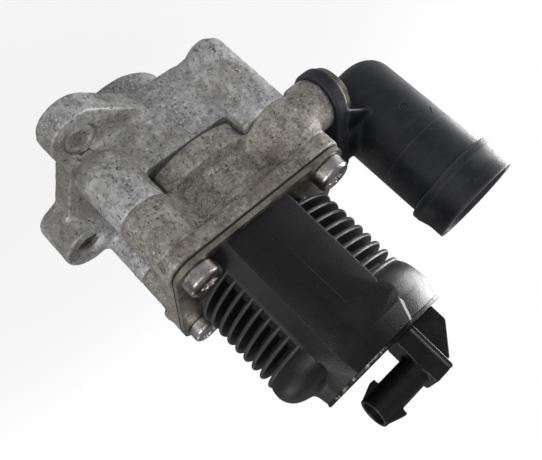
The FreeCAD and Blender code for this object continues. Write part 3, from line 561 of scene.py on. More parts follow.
def bare_metal(name, colour, gloss, stain=(0.30, 0.25, 0.18), stained=0.35, grain_mm=0.7):
    """Machined or plated metal with fine scratches and light stains."""
    make = Finish(name, Metallic=1.0)
    cloud = make.span(make.noise(4, 6, 0.65), 0.35, 0.65)
    tone = make.mixed(cloud, darker(colour, 0.70), darker(colour, 1.15))
    patch = make.span(make.noise(6, 6, 0.7), 0.50, 0.66, 0, stained)
    tone = make.mixed(patch, tone, stain)
    dark_speck = make.span(make.noise(0.6, 3, 0.7), 0.56, 0.68, 0, 0.6)
    tone = make.mixed(dark_speck, tone, darker(stain, 0.5))
    rough = make.span(make.noise(2.4, 5, 0.6), 0.3, 0.7, gloss - 0.06, gloss + 0.14)
    normal = make.bump(make.noise(grain_mm, 4, 0.7), 0.06, 0.6)
    return make.done(tone, rough, normal)


def soft_black(name, colour, gloss):
    """Rubber or gasket board with a dull fine grain."""
    make = Finish(name, Specular_IOR_Level=0.4)
    cloud = make.span(make.noise(3, 4), 0.3, 0.7)
    tone = make.mixed(cloud, colour, darker(colour, 1.6))
    rough = make.span(make.noise(2), 0.3, 0.7, gloss - 0.08, gloss + 0.08)
    normal = make.bump(make.noise(0.5, 3), 0.06, 0.6)
    return make.done(tone, rough, normal)


def wound_wire(name):
    """Enamelled copper wire, wound in close turns."""
    make = Finish(name, Metallic=1.0)
    turns = make.maths("SINE", make.maths("MULTIPLY", make.axis("Z"), 2 * math.pi / (0.5 * MM)))
    height = make.span(turns, -1, 1)
    # The troughs between turns are darker: painted shade between the wires.
    tone = make.mixed(height, (0.28, 0.10, 0.03), (0.80, 0.36, 0.16))
    rough = make.span(make.noise(2), 0.3, 0.7, 0.25, 0.4)
    return make.done(tone, rough, make.bump(height, 0.2))


def pale_plastic(name):
    """Ivory engineering plastic."""
    make = Finish(name, Specular_IOR_Level=0.5)
    cloud = make.span(make.noise(8, 3), 0.3, 0.7)
    tone = make.mixed(cloud, (0.62, 0.60, 0.52), (0.72, 0.70, 0.62))
    rough = make.span(make.noise(3), 0.3, 0.7, 0.42, 0.55)
    return make.done(tone, rough, make.bump(make.noise(0.6), 0.03, 0.5))


def paint_node(node, material):
    """Give a carried-over CAD node its finish."""
    mesh = nodes[node].data
    mesh.materials.clear()
    mesh.materials.append(material)


# where things are, in millimetres, as the part's drawing gives them

LUG_ONE = (22.0, -26.1, 7.0)
LUG_TWO = (32.2, 11.9, 14.0)
COLUMNS = ((22.1, -19.5), (-22.1, -19.5), (22.1, 19.5), (-22.1, 19.5))
BODY_TOP = 49.3
PLATE_TOP = 51.2
PORT_LEVEL = 37.0
EAR_PLACE = (-19.0, 34.3)
TUBE_X = -59.6
BARREL_LEVEL = 103.5
KEY_LOW = (-12.12, -3.02)
KEY_HIGH = (-6.68, 3.02)

# the camera's place, in millimetres, and its own axes, as the photograph was taken

CAMERA_PLACE = (54.49, -156.06, 95.37)
CAMERA_BACK = Vector((0.351, -0.898, 0.267)).normalized()
CAMERA_RIGHT = Vector((-0.721, -0.077, 0.688)).normalized()
CAMERA_RIGHT = (CAMERA_RIGHT - CAMERA_BACK * CAMERA_RIGHT.dot(CAMERA_BACK)).normalized()
CAMERA_UP = CAMERA_BACK.cross(CAMERA_RIGHT)


class VALVE_OT_mounting_casting(bpy.types.Operator):
    """Build the light mounting casting with its fillets, bores and ring mark"""

    bl_idname = "valve.mounting_casting"
    bl_label = "Mounting casting"

    def execute(self, context):
        shapes = context.scene.valve_shapes
        colours = context.scene.valve_colours
        x, y, level = LUG_ONE
        plug = lathe("plug", ((0, 2), (5.6, 2), (5.6, level), (0, level)), 48, (x, y, 0))
        mesh = joined_by(welded_copy("mounting_housing"), plug, "UNION")
        mesh = joined_by(mesh, self.foot_cutter(level), "DIFFERENCE")
        mesh = filleted(mesh, shapes.cast_fillet, shapes.cast_voxel)
        mesh = wobbled(softened(mesh, 3), 0.10 * MM)
        mesh = self.with_ring_mark(mesh, x, y, level)
        thread_x, thread_y, lug_top = LUG_TWO
        mouth = lathe("mouth", ((0, lug_top - 1.9), (3.9, lug_top - 1.9), (4.2, lug_top - 1.5),
                                (5.3, lug_top + 0.3), (0, lug_top + 0.3)), 64,
                      (thread_x, thread_y, 0))
        mesh = joined_by(mesh, mouth, "DIFFERENCE")
        drum_room = (16.1, (0, 0, 12), (0, 0, 32))
        outlet = (12.2, (0, 0, -0.5), (0, 0, 11.6))
        outlet_lead = (12.5, (0, 0, 11.5), (0, 0, 13))
        spigot_bore = (15.6, (3, 0, -10), (3, 0, 0))
        thread_hole = (3.95, (thread_x, thread_y, -1), (thread_x, thread_y, 15))
        holes = [drum_room, outlet, outlet_lead, spigot_bore, thread_hole]
        holes += [(2.52, (*spot, 14.7), (*spot, 32)) for spot in COLUMNS]
        mesh = drilled(mesh, holes)
        mark_hollows(mesh, 0.30 * MM, 9)
        self.fade_ring_shade_and_dirt(mesh, x, y)
        finish = cast_metal("light_cast_metal", colours.light_casting, (0.24, 0.21, 0.17), 0.85, 0.5)
        smooth_faces(mesh, 45)
        finished_piece("mounting_casting", mesh, finish, "light_casting", "valve",
                       "mounting_housing")
        self.thread(thread_x, thread_y, lug_top)
        return {"FINISHED"}

    def with_ring_mark(self, mesh, x, y, level):
        """The ring and dish that are pressed into the upper lug."""
        ring = ((4.3, level - 0.25), (4.45, level - 0.45), (4.75, level - 0.45),
                (4.95, level - 0.25), (5.05, level + 1), (4.2, level + 1))
        dish = ((0, level - 0.9), (1.9, level - 0.8), (2.9, level - 0.45),
                (3.3, level), (3.4, level + 1), (0, level + 1))
        for name, outline, segments in (("ring", ring, 72), ("dish", dish, 48)):
            mesh = joined_by(mesh, lathe(name, outline, segments, (x, y, 0)), "DIFFERENCE")
        return mesh

    def fade_ring_shade_and_dirt(self, mesh, x, y):
        """The pressed ring gets little of the dirt and painted shade that darken the other hollows.
        """
        points = places(mesh) / MM
        values = np.zeros(len(points), np.float32)
        mesh.attributes["hollow"].data.foreach_get("value", values)
        inside = (np.hypot(points[:, 0] - x, points[:, 1] - y) < 5.4) & (points[:, 2] > 5)
        store(mesh, "hollow", np.where(inside & (points[:, 2] < 8), values * 0.35, values))

    def foot_cutter(self, plate_level):
        """What turns the front column's cone into a dome above the lug."""
        radius, middle, reach, steps = 7.5, 16.8, 12, 10
        outline = [(0, plate_level + 0.05), (reach, plate_level + 0.05), (reach, middle)]
        for step in range(steps + 1):
            angle = math.pi / 2 * (1 - step / steps)
            outline.append((radius * math.sin(angle), middle - radius * math.cos(angle)))
        tool = lathe("foot", outline, 72, (*COLUMNS[0], 0))
        return joined_by(tool, block((0, -21.05, 0), (50, 0, 40)), "DIFFERENCE")

    def thread(self, x, y, top):
        """The coarse thread's coil inside the lug's hole."""
        pitch, turns, steps = 1.25, 9.5, 40
        rings = []
        for index in range(int(turns * steps)):
            angle = 2 * math.pi * index / steps
            level = top - 2.0 - pitch * index / steps
            rings.append([
                (x + radius * math.cos(angle), y + radius * math.sin(angle), level + rise)
                for radius, rise in ((4.05, 0.52), (3.42, 0.08), (3.42, -0.08), (4.05, -0.52))
            ])
        mesh = smooth_faces(lofted("thread", rings), 30)
        finish = bare_metal("thread_metal", (0.55, 0.53, 0.49), 0.28)
        finished_piece("lug_thread", mesh, finish, "light_casting", "valve")


class VALVE_OT_body_casting(bpy.types.Operator):
    """Build the darker valve body casting with its fillets, bores and flash lines"""

    bl_idname = "valve.body_casting"
    bl_label = "Body casting"

    def execute(self, context):
        shapes = context.scene.valve_shapes
        colours = context.scene.valve_colours
        mesh = filleted(welded_copy("valve_body"), shapes.cast_fillet, shapes.cast_voxel)

        def off_machined(points):
            return np.where(points[:, 2] > (BODY_TOP - 0.3) * MM, 0.0, 1.0)

        mesh = wobbled(softened(mesh, 3, off_machined), 0.08 * MM)
        mesh = raised_line(mesh, self.flange_seam, -0.28, 0.42)
        mesh = raised_line(mesh, self.column_seam, 0.16, 0.40)
        mesh = raised_line(mesh, self.ear_seam, 0.14, 0.40)
        top = BODY_TOP * MM
        points = places(mesh)
        points[:, 2] = np.minimum(points[:, 2], top)
        set_places(mesh, points)
        chamber = (15.0, (0, 0, 31), (0, 0, 50))
        seat_pocket = (12.02, (0, 0, 28), (0, 0, 31.5))
        throat = (10.0, (0, 0, 24), (0, 0, 31.5))
        check_bore = (12.5, (0, 0, 13), (0, 0, 25))
        air_port = (8.5, (-37, 0, PORT_LEVEL), (-12, 0, PORT_LEVEL))
        ear_hole = (2.52, (-37, *EAR_PLACE), (-25.7, *EAR_PLACE))
        holes = [chamber, seat_pocket, throat, check_bore, air_port, ear_hole]
        holes += [(2.8, (*spot, 29), (*spot, 50)) for spot in COLUMNS]
        mesh = drilled(mesh, holes)
        mark_hollows(mesh, 0.30 * MM, 9)
        finish = cast_metal("dark_cast_metal", colours.dark_casting, (0.17, 0.14, 0.10), 0.80, 0.6)
        smooth_faces(mesh, 45)
        finished_piece("body_casting", mesh, finish, "dark_casting", "valve", "valve_body")
        return {"FINISHED"}

    def flange_seam(self, points, normals):
        """Distance to the wavy seam round the flange's side."""
        level = 44.8 + 0.30 * np.sin(points[:, 0] / 3.1) + 0.22 * np.sin(points[:, 1] / 2.3 + 1)
        away = points[:, 2] - level
        return np.where(np.abs(normals[:, 2]) < 0.6, away, 9)

    def column_seam(self, points, normals):
        """Distance to the flash lines down the two front columns."""
        away = np.abs(np.abs(points[:, 0]) - 23.5)
        front = (points[:, 1] < -20) & (points[:, 2] > 31) & (points[:, 2] < 44.5)
        return np.where(front & (normals[:, 1] < -0.3), away, 9)

    def ear_seam(self, points, normals):
        """Distance to the flash line along the ear boss."""
        away = points[:, 2] - EAR_PLACE[1] - 1.5
        boss = (points[:, 0] < -28.5) & (points[:, 1] < -14)
        return np.where(boss & (normals[:, 1] < -0.3), away, 9)


class VALVE_OT_flange_stack(bpy.types.Operator):
    """Give the gasket and the steel plate their finishes"""

    bl_idname = "valve.flange_stack"
    bl_label = "Flange stack"

    def execute(self, context):
        paint_node("flange_gasket", soft_black("gasket_board", (0.015, 0.015, 0.015), 0.7))
        paint_node("solenoid_flange",
                   bare_metal("stained_plate", (0.46, 0.43, 0.37), 0.36, (0.12, 0.10, 0.07), 0.6))
        return {"FINISHED"}


class VALVE_OT_flange_screws(bpy.types.Operator):
    """Build the four pan head screws with six-lobe recesses"""

    bl_idname = "valve.flange_screws"
    bl_label = "Flange screws"

    def execute(self, context):
        work = bmesh.new()
        for x, y in COLUMNS:
            screw = self.screw(x, y)
            work.from_mesh(screw)
            bpy.data.meshes.remove(screw)
        mesh = mesh_from(work, "flange_screws")
        mark_hollows(mesh, 0.2 * MM, 4)
        smooth_faces(mesh, 40)
        finish = bare_metal("zinc_plate", (0.62, 0.59, 0.57), 0.34, (0.12, 0.09, 0.07), 0.9)
        finished_piece("pan_head_screws", mesh, finish, "zinc_screw", "valve", "flange_screws")
        return {"FINISHED"}

    def screw(self, x, y):
        """One screw: a softly crowned head and a plain shank."""
        head, top, crown = 5.0, PLATE_TOP + 4.2, 1.3
        shank, shank_end = 2.5, 15.0
        outline = [(0, shank_end), (1.9, shank_end), (shank, shank_end + 0.6),
                   (shank, PLATE_TOP - 0.5), (shank, PLATE_TOP), (head - 0.35, PLATE_TOP),
                   (head, PLATE_TOP + 0.35), (head, top - crown)]
        for step in range(1, 9):
            angle = math.pi / 2 * step / 8
            outline.append((head - crown * (1 - math.cos(angle)),
                            top - crown * (1 - math.sin(angle))))
        outline += [(2.75, top), (0, top)]
        blank = lathe("screw", outline, 64, (x, y, 0))
        count = 96
        star = []
        for index in range(count):
            angle = 2 * math.pi * index / count
            reach = 2.05 + 0.42 * math.cos(6 * angle)
            star.append((reach, angle))
        rings = []
        for z, grow in ((top - 2.2, 0.94), (top - 0.25, 1.0), (top + 0.05, 1.12)):
            rings.append([(x + grow * reach * math.cos(angle), y + grow * reach * math.sin(angle), z)
                          for reach, angle in star])
        return joined_by(blank, lofted("recess", rings), "DIFFERENCE")


class VALVE_OT_solenoid_housing(bpy.types.Operator):
    """Build the finned housing with its pad, swept end and mould line"""

    bl_idname = "valve.solenoid_housing"
    bl_label = "Solenoid housing"

    root = 19.6
    fin_radius = 24.0
    fin_thick = 1.45
    fin_pitch = 3.14
    last_fin = 80.2
    fin_count = 10

    def execute(self, context):
        mesh = joined_by(self.finned_tube(), self.swept_cap(), "UNION")
        mesh = joined_by(mesh, self.front_cutter(), "DIFFERENCE")
        mesh = joined_by(mesh, self.front_pad(), "UNION")
        cavity = lathe("cavity", ((0, 50), (16.5, 50), (16.5, 88), (0, 88)), 96)
        mesh = joined_by(mesh, cavity, "DIFFERENCE")
        key = block((*KEY_LOW, 86), (*KEY_HIGH, 95))
        mesh = joined_by(mesh, key, "DIFFERENCE")
        head_room = ((0, 50), (5.3, 50), (5.3, 55.4), (4.9, 55.7), (0, 55.7))
        for spot in COLUMNS:
            mesh = joined_by(mesh, lathe("room", head_room, 64, (*spot, 0)), "DIFFERENCE")
        points = places(mesh) / MM
        reach = np.hypot(points[:, 0], points[:, 1])
        finned = (points[:, 2] < self.last_fin + 1) & (points[:, 1] > -23.7)
        # Fin rims marked for a painted highlight.
        store(mesh, "edge", np.where(finned & (reach > self.fin_radius - 0.35), 0.8, 0))
        smooth_faces(mesh, 30)
        colours = context.scene.valve_colours
        finish = black_moulding("grained_black", colours.moulding, 0.40, 0.09, 0.40)
        finished_piece("finned_housing", mesh, finish, "housing_plastic", "valve",
                       "solenoid_housing")
        self.mould_line()
        return {"FINISHED"}

    def finned_tube(self):
        """The root tube with round-tipped fins, turned in one outline."""
        half = self.fin_thick / 2
        outline = [(0, PLATE_TOP), (self.root, PLATE_TOP)]
        for index in reversed(range(self.fin_count)):
            level = self.last_fin - self.fin_pitch * index
            low, high = level - half, level + half
            if low < PLATE_TOP + 0.2:
                continue
            outline += [(self.root, low - 0.45), (self.root + 0.45, low - 0.1)]
            for step in range(-4, 5):
                angle = math.pi / 2 * step / 4
                outline.append((self.fin_radius - 0.5 + 0.5 * math.cos(angle),
                                level + half * 0.82 * math.sin(angle)))
            outline += [(self.root + 0.45, high + 0.1), (self.root, high + 0.45)]
        outline += [(0, self.last_fin + 2)]
        return lathe("fins", outline, 180)

    def swept_cap(self):
        """The bulged end: circles by level, +X reach and -X reach."""
        rings = []
        for level, plus, minus in (
            (79.6, 22.6, 22.6), (80.2, 23.3, 23.3), (80.8, 23.6, 23.8), (81.6, 23.9, 24.3),
            (82.8, 24.1, 24.9), (84.2, 24.1, 25.3), (85.4, 23.8, 25.5), (86.4, 23.3, 25.6),
            (87.3, 22.6, 25.7), (88.0, 21.8, 25.8), (88.6, 20.8, 25.85), (89.1, 19.6, 25.85),
            (89.45, 18.4, 25.8), (89.75, 17.4, 25.75), (90.2, 16.85, 25.7), (90.8, 16.55, 25.55),
            (91.6, 16.3, 25.25), (92.5, 16.15, 24.9), (93.4, 16.0, 24.5), (94.0, 15.85, 24.25),
        ):
            rings.append(circle((plus + minus) / 2, (plus - minus) / 2, 0, level, 180))
        return lofted("cap", rings)

    def front_level(self, level):
        """How far forward the pad's face lies at a level: it leans back over the cap."""
        return float(np.interp(level, (81.5, 84.0, 89.3, 94.0), (-23.8, -23.35, -22.85, -21.4)))

    def front_cutter(self):
        """What the pad's flat face cuts off the cap's bulge."""
        rings = []
        for level, hidden in ((50.0, 0.5), (79.0, 0.5), (81.5, 0), (84.0, 0), (89.3, 0), (94.5, 0)):
            front = self.front_level(level) + hidden
            rings.append([(-14, front, level), (18, front, level), (18, -40, level),
                          (-14, -40, level)])
        return lofted("cutter", rings)

    def front_pad(self):
        """The flat pad with bevelled sides, which runs on over the cap to the plate."""
        rings = []
        for level, left, left_side, right, right_side in (
            (PLATE_TOP, -7.0, (-9.6, -19.1), 13.0, (15.6, -19.1)),
            (82.0, -7.0, (-9.6, -19.1), 13.0, (15.6, -19.1)),
            (83.3, -5.7, (-9.7, -19.4), 13.0, (15.6, -19.1)),
            (85.8, -8.2, (-10.6, -20.2), 13.0, (15.6, -19.0)),
            (89.0, -7.8, (-10.6, -19.8), 12.6, (14.4, -19.4)),
            (91.0, -7.2, (-10.2, -18.8), 12.2, (14.6, -16.0)),
            (94.0, -6.4, (-9.8, -17.6), 11.4, (14.0, -14.6)),
        ):
            front = self.front_level(level)
            rings.append([
                (-13, -12, level), (*left_side, level),
                (left - 0.25, front + 0.2, level), (left + 0.1, front, level),
                (right - 0.1, front, level), (right + 0.25, front + 0.2, level),
                (*right_side, level),
                (17.2, -15, level) if level < 87 else (15.2, -10.0, level),
                (15.0, -3, level), (-13, -3, level),
            ])
        return lofted("pad", rings)

    def mould_line(self):
        """The fine raised line that the mould left down the pad, with its sideways jog; its lighter
        colour is a painted highlight along the line.
        """
        half, rise = 0.09, 0.07
        rings = []
        for x, level in ((2.9, 55.0), (2.8, 68.0), (2.4, 81.0), (0.2, 82.0), (-1.7, 83.2),
                         (-1.9, 84.0), (-1.9, 89.3), (-1.9, 93.9)):
            front = self.front_level(level)
            rings.append([(x - half, front + 0.2, level), (x, front - rise, level),
                          (x + half, front + 0.2, level)])
        mesh = smooth_faces(lofted("mould_line", rings), 0)
        # Lighter than the housing: a painted highlight along the raised line.
        finish = black_moulding("painted_highlight_black", (0.10, 0.10, 0.10), 0.5, 0.02, 0.38)
        finished_piece("housing_mould_line", mesh, finish, "housing_plastic", "valve")


class VALVE_OT_end_plate(bpy.types.Operator):
    """Build the thin end plate with its worn edge and key slot"""

    bl_idname = "valve.end_plate"
    bl_label = "End plate"

    def execute(self, context):
        radius, middle = 20.25, -4.15
        mesh = lathe("end_plate", (
            (0, 94.0), (radius - 0.1, 94.0), (radius, 94.1), (radius, 94.75),
            (radius - 0.25, 95.0), (0, 95.0)), 160, (middle, 0, 0))
        mesh = joined_by(mesh, block((*KEY_LOW, 93), (*KEY_HIGH, 96)), "DIFFERENCE")
        smooth_faces(mesh, 30)
        finished_piece("cover_plate", mesh, self.finish(), "steel_sheet", "valve", "end_plate")
        return {"FINISHED"}

    def finish(self):
        """Black coat, worn off to bare metal in patches along the edge."""
        make = Finish("dark_end_plate", Metallic=0.9)
        worn = make.span(make.noise(7, 4, 0.7), 0.46, 0.56)
        rim = make.span(make.axis("Z"), 94.95 * MM, 94.9 * MM)
        side = make.maths("MULTIPLY", rim, make.span(make.axis("X"), 1 * MM, -4 * MM, 1, 0.12))
        bare = make.maths("MULTIPLY", worn, side)
        grime = make.span(make.noise(1.2, 4, 0.7), 0.45, 0.6)
        metal = make.mixed(grime, (0.62, 0.58, 0.52), (0.30, 0.24, 0.18))
        tone = make.mixed(bare, (0.035, 0.034, 0.034), metal)
        rough = make.span(make.noise(2.4, 4), 0.3, 0.7, 0.32, 0.5)
        return make.done(tone, rough, make.bump(make.noise(0.6, 4, 0.7), 0.06, 0.6))


class VALVE_OT_connector(bpy.types.Operator):
    """Build the connector shell with soft moulded corners"""

    bl_idname = "valve.connector"
    bl_label = "Connector"

    def execute(self, context):
        colours = context.scene.valve_colours
        mesh = filleted(welded_copy("connector_shell"), 0.35 * MM, 0.20 * MM)
        mesh = softened(mesh, 2)
        mesh = drilled(mesh, [(3.3, (-1.2, 0, BARREL_LEVEL), (10.5, 0, BARREL_LEVEL))])
        mark_hollows(mesh, 0.15 * MM, 6)
        smooth_faces(mesh, 50)
        finish = black_moulding("connector_black", colours.moulding, 0.4, 0.04, 0.30, 0.7)
        finished_piece("plug_connector", mesh, finish, "connector_plastic", "valve",
                       "connector_shell")
        return {"FINISHED"}


class VALVE_OT_elbow(bpy.types.Operator):
    """Build the hose elbow: soft moulded body, turned hose end, rib and ring mark"""

    bl_idname = "valve.elbow"
    bl_label = "Hose elbow"

    def execute(self, context):
        shapes = context.scene.valve_shapes
        colours = context.scene.valve_colours
        rib = lofted("rib", [
            [(-39.0, -21.8, z), (-39.0, -10.0, z), (-50.0, -8.0, z), (-51.6, -11.4, z)]
            for z in (42.05, 43.05)
        ])
        mesh = joined_by(welded_copy("elbow"), rib, "UNION")
        mesh = joined_by(mesh, block((-80, -20, 62), (-40, 20, 90)), "DIFFERENCE")
        mesh = filleted(mesh, shapes.moulded_fillet, shapes.moulded_voxel)
        mesh = softened(mesh, 4)
        mesh = joined_by(mesh, self.hose_end(), "UNION")
        holes = [
            (12.5, (TUBE_X, 0, 34.4), (TUBE_X, 0, 84)),
            (7.0, (TUBE_X, 0, PORT_LEVEL), (-29, 0, PORT_LEVEL)),
            (5.02, (-41, *EAR_PLACE), (-35, *EAR_PLACE)),
        ]
        mesh = drilled(mesh, holes)
        for mark in self.marks():
            mesh = joined_by(mesh, mark, "UNION")
        mark_hollows(mesh, 0.2 * MM, 6)
        smooth_faces(mesh, 32)
        finished_piece("hose_elbow", mesh, self.finish(colours.moulding), "elbow_plastic",
                       "valve", "elbow")
        return {"FINISHED"}

    def hose_end(self):
        """The straight tube with its crisp bead and thin mouth, turned in one outline."""
        outline = [
            (14.02, 59.0), (14.02, 71.9), (15.4, 72.1), (15.6, 72.35), (15.6, 74.6),
            (15.35, 75.4), (14.75, 78.0), (14.65, 78.8), (14.65, 82.8), (14.5, 83.0),
        ]
        outline = [(0, 59.0), *finer(outline, 0.45), (0, 83.0)]
        return lathe("hose_end", outline, 192, (TUBE_X, 0, 0))

    def marks(self):
        """Small raised mould marks on the tube's front: a ring round a bar, and three pips."""
        shapes = []
        for angle, level, outer, inner in ((-84.5, 50.1, 1.55, 1.30), (-84.5, 50.1, 0.75, 0.5)):
            turn = math.radians(angle)
            out = Vector((math.cos(turn), math.sin(turn), 0))
            foot = Vector((TUBE_X, 0, level)) + out * 13.7
            shapes.append(lathe("mark", ((inner, 0), (outer, 0), (outer, 0.42), (inner, 0.42)),
                                32, foot, out))
        for angle, level in ((-114, 55.2), (-111, 55.9), (-108, 56.6)):
            turn = math.radians(angle)
            out = Vector((math.cos(turn), math.sin(turn), 0))
            foot = Vector((TUBE_X, 0, level)) + out * 13.7
            shapes.append(lathe("mark", ((0, 0), (0.32, 0), (0.28, 0.46), (0, 0.5)),
                                16, foot, out))
        return shapes

    def finish(self, colour):
        """Blue-black satin plastic, mottled by handling, with edges lightened as a painted
        highlight.
        """
        make = Finish("satin_black", Specular_IOR_Level=0.5)
        cloud = make.span(make.noise(16, 5, 0.65), 0.36, 0.64)
        tone = make.mixed(cloud, (0.010, 0.011, 0.014), (0.028, 0.031, 0.040))
        mottle = make.span(make.noise(3.0, 6, 0.75), 0.50, 0.68, 0, 0.55)
        tone = make.mixed(mottle, tone, (0.050, 0.052, 0.060))
        specks = make.span(make.noise(0.8, 3, 0.6), 0.68, 0.75, 0, 0.6)
        tone = make.mixed(specks, tone, (0.12, 0.115, 0.11))
        # Edges lighter: a painted highlight along the edges.
        tone = make.mixed(make.maths("MULTIPLY", make.layer("edge"), 0.7), tone, (0.12, 0.12, 0.13))
        rough = make.span(make.noise(6, 6, 0.7), 0.3, 0.7, 0.36, 0.58)
        normal = make.bump(make.noise(0.6, 4, 0.7), 0.07, 0.7)
        normal = make.bump(make.noise(9, 3), 0.25, 0.25, normal)
        return make.done(tone, rough, normal)


class VALVE_OT_elbow_screw(bpy.types.Operator):
    """Finish the elbow's flanged screw and bush"""

    bl_idname = "valve.elbow_screw"
    bl_label = "Elbow screw"

    def execute(self, context):
        paint_node("elbow_screw",
                   bare_metal("brown_plate", (0.30, 0.26, 0.21), 0.36, (0.10, 0.07, 0.05), 0.6))
        paint_node("elbow_bush", bare_metal("bush_metal", (0.52, 0.50, 0.49), 0.3))
        return {"FINISHED"}


class VALVE_OT_inner_parts(bpy.types.Operator):
    """Give the pieces inside their finishes"""

    bl_idname = "valve.inner_parts"
    bl_label = "Inner parts"

    def execute(self, context):
        turned = bare_metal("turned_steel", (0.60, 0.60, 0.61), 0.22)
        brass = bare_metal("brass", (0.80, 0.60, 0.28), 0.25, (0.35, 0.22, 0.08))
        wire = bare_metal("spring_wire", (0.50, 0.50, 0.52), 0.28)
        rubber = soft_black("seal_rubber", (0.02, 0.02, 0.02), 0.6)
        for material, names in (
            (turned, ("valve_seat", "poppet_plate", "spindle_nut", "spindle", "spring_cup",
                      "armature", "fixed_core", "flux_can", "check_disc", "check_retainer")),
            (brass, ("spindle_bush", "armature_sleeve", "terminal_pins")),
            (rubber, ("outlet_seal", "poppet_seal", "spindle_seal", "elbow_ring")),
            (wound_wire("copper_winding"), ("coil_winding",)),
            (pale_plastic("ivory_spool"), ("coil_bobbin",)),
        ):
            for name in names:
                paint_node(name, material)
        for joint in frame["record"]["behaviour"]["joints"]:
            for bent in joint["deforming_nodes"]:
                self.live_spring(joint["name"], joint["range_m"][1], bent["node"],
                                 bent["fixed_end_z_m"], wire)
        return {"FINISHED"}

    def live_spring(self, joint, travel, node, fixed_level, material):
        """A coil spring copied from its CAD node, with its finish."""
        mesh = smooth_faces(welded_copy(node), 40)
        piece = finished_piece("live_" + node, mesh, material, "spring_steel", "valve", node)
        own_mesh(piece)


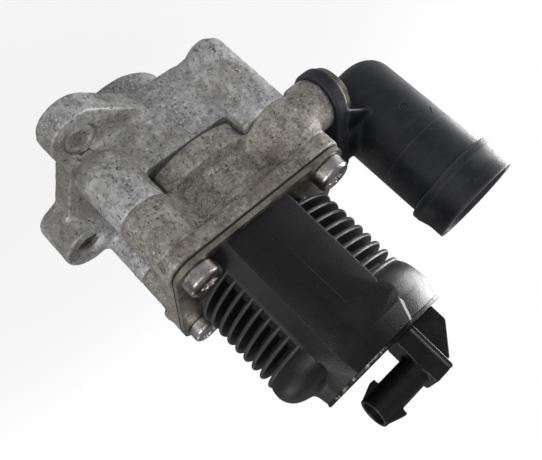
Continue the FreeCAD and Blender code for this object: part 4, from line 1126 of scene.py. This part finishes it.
class VALVE_OT_studio(bpy.types.Operator):
    """Build the floor, the backdrop, the lamps and the camera"""

    bl_idname = "valve.studio"
    bl_label = "Studio"

    def execute(self, context):
        self.floor(context)
        self.sky(context)
        self.lamps(context)
        self.camera(context)
        return {"FINISHED"}

    def floor(self, context):
        """A wide pale floor under the spigot, which fades to the plain backdrop far away."""
        work = bmesh.new()
        bmesh.ops.create_circle(work, cap_ends=True, segments=96, radius=3)
        bmesh.ops.translate(work, verts=work.verts, vec=(0, 0, cad_box[0].z - 0.05 * MM))
        floor = new_piece("floor", mesh_from(work, "floor"))
        colour = context.scene.valve_colours.background
        make = Finish("pale_floor", Roughness=0.9)
        tree = make.material.node_tree
        make.shader.inputs["Base Color"].default_value = (*darker(colour, 0.35), 1)
        glow = tree.nodes.new("ShaderNodeEmission")
        glow.inputs["Color"].default_value = (*colour, 1)
        distance = tree.nodes.new("ShaderNodeVectorMath")
        distance.operation = "LENGTH"
        tree.links.new(make.spot, distance.inputs[0])
        plain = make.span(distance.outputs["Value"], 0.08, 0.25, 0.88, 1.0)
        rays = tree.nodes.new("ShaderNodeLightPath")
        seen = make.maths("MAXIMUM", rays.outputs["Is Camera Ray"],
                          rays.outputs["Is Transmission Ray"])
        mix = tree.nodes.new("ShaderNodeMixShader")
        tree.links.new(make.maths("MULTIPLY", seen, plain), mix.inputs["Fac"])
        tree.links.new(make.shader.outputs["BSDF"], mix.inputs[1])
        tree.links.new(glow.outputs["Emission"], mix.inputs[2])
        tree.links.new(mix.outputs["Shader"], tree.nodes["Material Output"].inputs["Surface"])
        floor.data.materials.append(make.material)

    def sky(self, context):
        """Even light from all round, seen by the camera as the pale backdrop."""
        scene = context.scene
        world = bpy.data.worlds.new("studio_sky")
        world.use_nodes = True
        tree = world.node_tree
        light = tree.nodes["Background"]
        light.inputs["Color"].default_value = (1, 1, 1, 1)
        light.inputs["Strength"].default_value = scene.valve_studio.sky
        backdrop = tree.nodes.new("ShaderNodeBackground")
        backdrop.inputs["Color"].default_value = (*scene.valve_colours.background, 1)
        rays = tree.nodes.new("ShaderNodeLightPath")
        mix = tree.nodes.new("ShaderNodeMixShader")
        tree.links.new(rays.outputs["Is Camera Ray"], mix.inputs["Fac"])
        tree.links.new(light.outputs["Background"], mix.inputs[1])
        tree.links.new(backdrop.outputs["Background"], mix.inputs[2])
        tree.links.new(mix.outputs["Shader"], tree.nodes["World Output"].inputs["Surface"])
        scene.world = world

    def lamps(self, context):
        """Soft round lamps above the floor, the strongest behind the hose end's side."""
        strength = context.scene.valve_studio.lamps
        centre = Vector((-10, 0, 50)) * MM
        away = 0.5
        for name, direction, size, power in (
            ("key_lamp", (-1.0, 0.25, 0.30), 0.45, 4.6),
            ("pad_lamp", (-0.80, -0.58, 0.25), 0.20, 0.36),
            ("lug_lamp", (0.88, -0.35, 0.20), 0.20, 0.65),
            ("front_lamp", (0.45, -0.85, 0.25), 0.20, 0.25),
            ("far_lamp", (0.70, 0.60, 0.35), 0.20, 0.15),
        ):
            lamp = bpy.data.lights.new(name, "AREA")
            lamp.shape = "DISK"
            lamp.size = size
            lamp.energy = power * strength
            holder = bpy.data.objects.new(name, lamp)
            direction = Vector(direction).normalized()
            holder.location = centre + direction * away
            holder.rotation_mode = "QUATERNION"
            holder.rotation_quaternion = direction.to_track_quat("Z", "Y")
            context.scene.collection.objects.link(holder)

    def camera(self, context):
        """The camera at the photograph's place and angle."""
        data = bpy.data.cameras.new("photo_camera")
        data.lens = context.scene.valve_studio.lens
        data.sensor_width = 36
        data.sensor_fit = "HORIZONTAL"
        data.clip_start = 0.01
        data.clip_end = 10
        camera = bpy.data.objects.new("photo_camera", data)
        turn = Matrix((CAMERA_RIGHT, CAMERA_UP, CAMERA_BACK)).transposed()
        camera.matrix_world = Matrix.Translation(Vector(CAMERA_PLACE) * MM) @ turn.to_4x4()
        context.scene.collection.objects.link(camera)
        context.scene.camera = camera
        context.scene.view_settings.view_transform = "Standard"


STEPS = (
    VALVE_OT_mounting_casting, VALVE_OT_body_casting, VALVE_OT_flange_stack,
    VALVE_OT_flange_screws, VALVE_OT_solenoid_housing, VALVE_OT_end_plate, VALVE_OT_connector,
    VALVE_OT_elbow, VALVE_OT_elbow_screw, VALVE_OT_inner_parts, VALVE_OT_studio,
)


class VALVE_PT_panel(bpy.types.Panel):
    """Lists the valve's settings and its steps"""

    bl_label = "Air valve"
    bl_space_type = "VIEW_3D"
    bl_region_type = "UI"
    bl_category = "Air valve"

    def draw(self, context):
        scene = context.scene
        for group in (scene.valve_shapes, scene.valve_colours, scene.valve_studio):
            for field in group.__annotations__:
                self.layout.prop(group, field)
        for step in STEPS:
            self.layout.operator(step.bl_idname)


GROUPS = (
    ("valve_shapes", ValveShapes),
    ("valve_colours", ValveColours),
    ("valve_studio", ValveStudio),
)


def register():
    """Register the settings, the steps and the panel."""
    for name, group in GROUPS:
        bpy.utils.register_class(group)
        setattr(bpy.types.Scene, name, PointerProperty(type=group))
    for step in STEPS:
        bpy.utils.register_class(step)
    bpy.utils.register_class(VALVE_PT_panel)


def unregister():
    """Remove what register added."""
    bpy.utils.unregister_class(VALVE_PT_panel)
    for step in reversed(STEPS):
        bpy.utils.unregister_class(step)
    for name, group in reversed(GROUPS):
        delattr(bpy.types.Scene, name)
        bpy.utils.unregister_class(group)


def main():
    """Build the whole valve."""
    register()
    for step in STEPS:
        group, name = step.bl_idname.split(".")
        getattr(getattr(bpy.ops, group), name)()


if __name__ == "__main__":
    main()
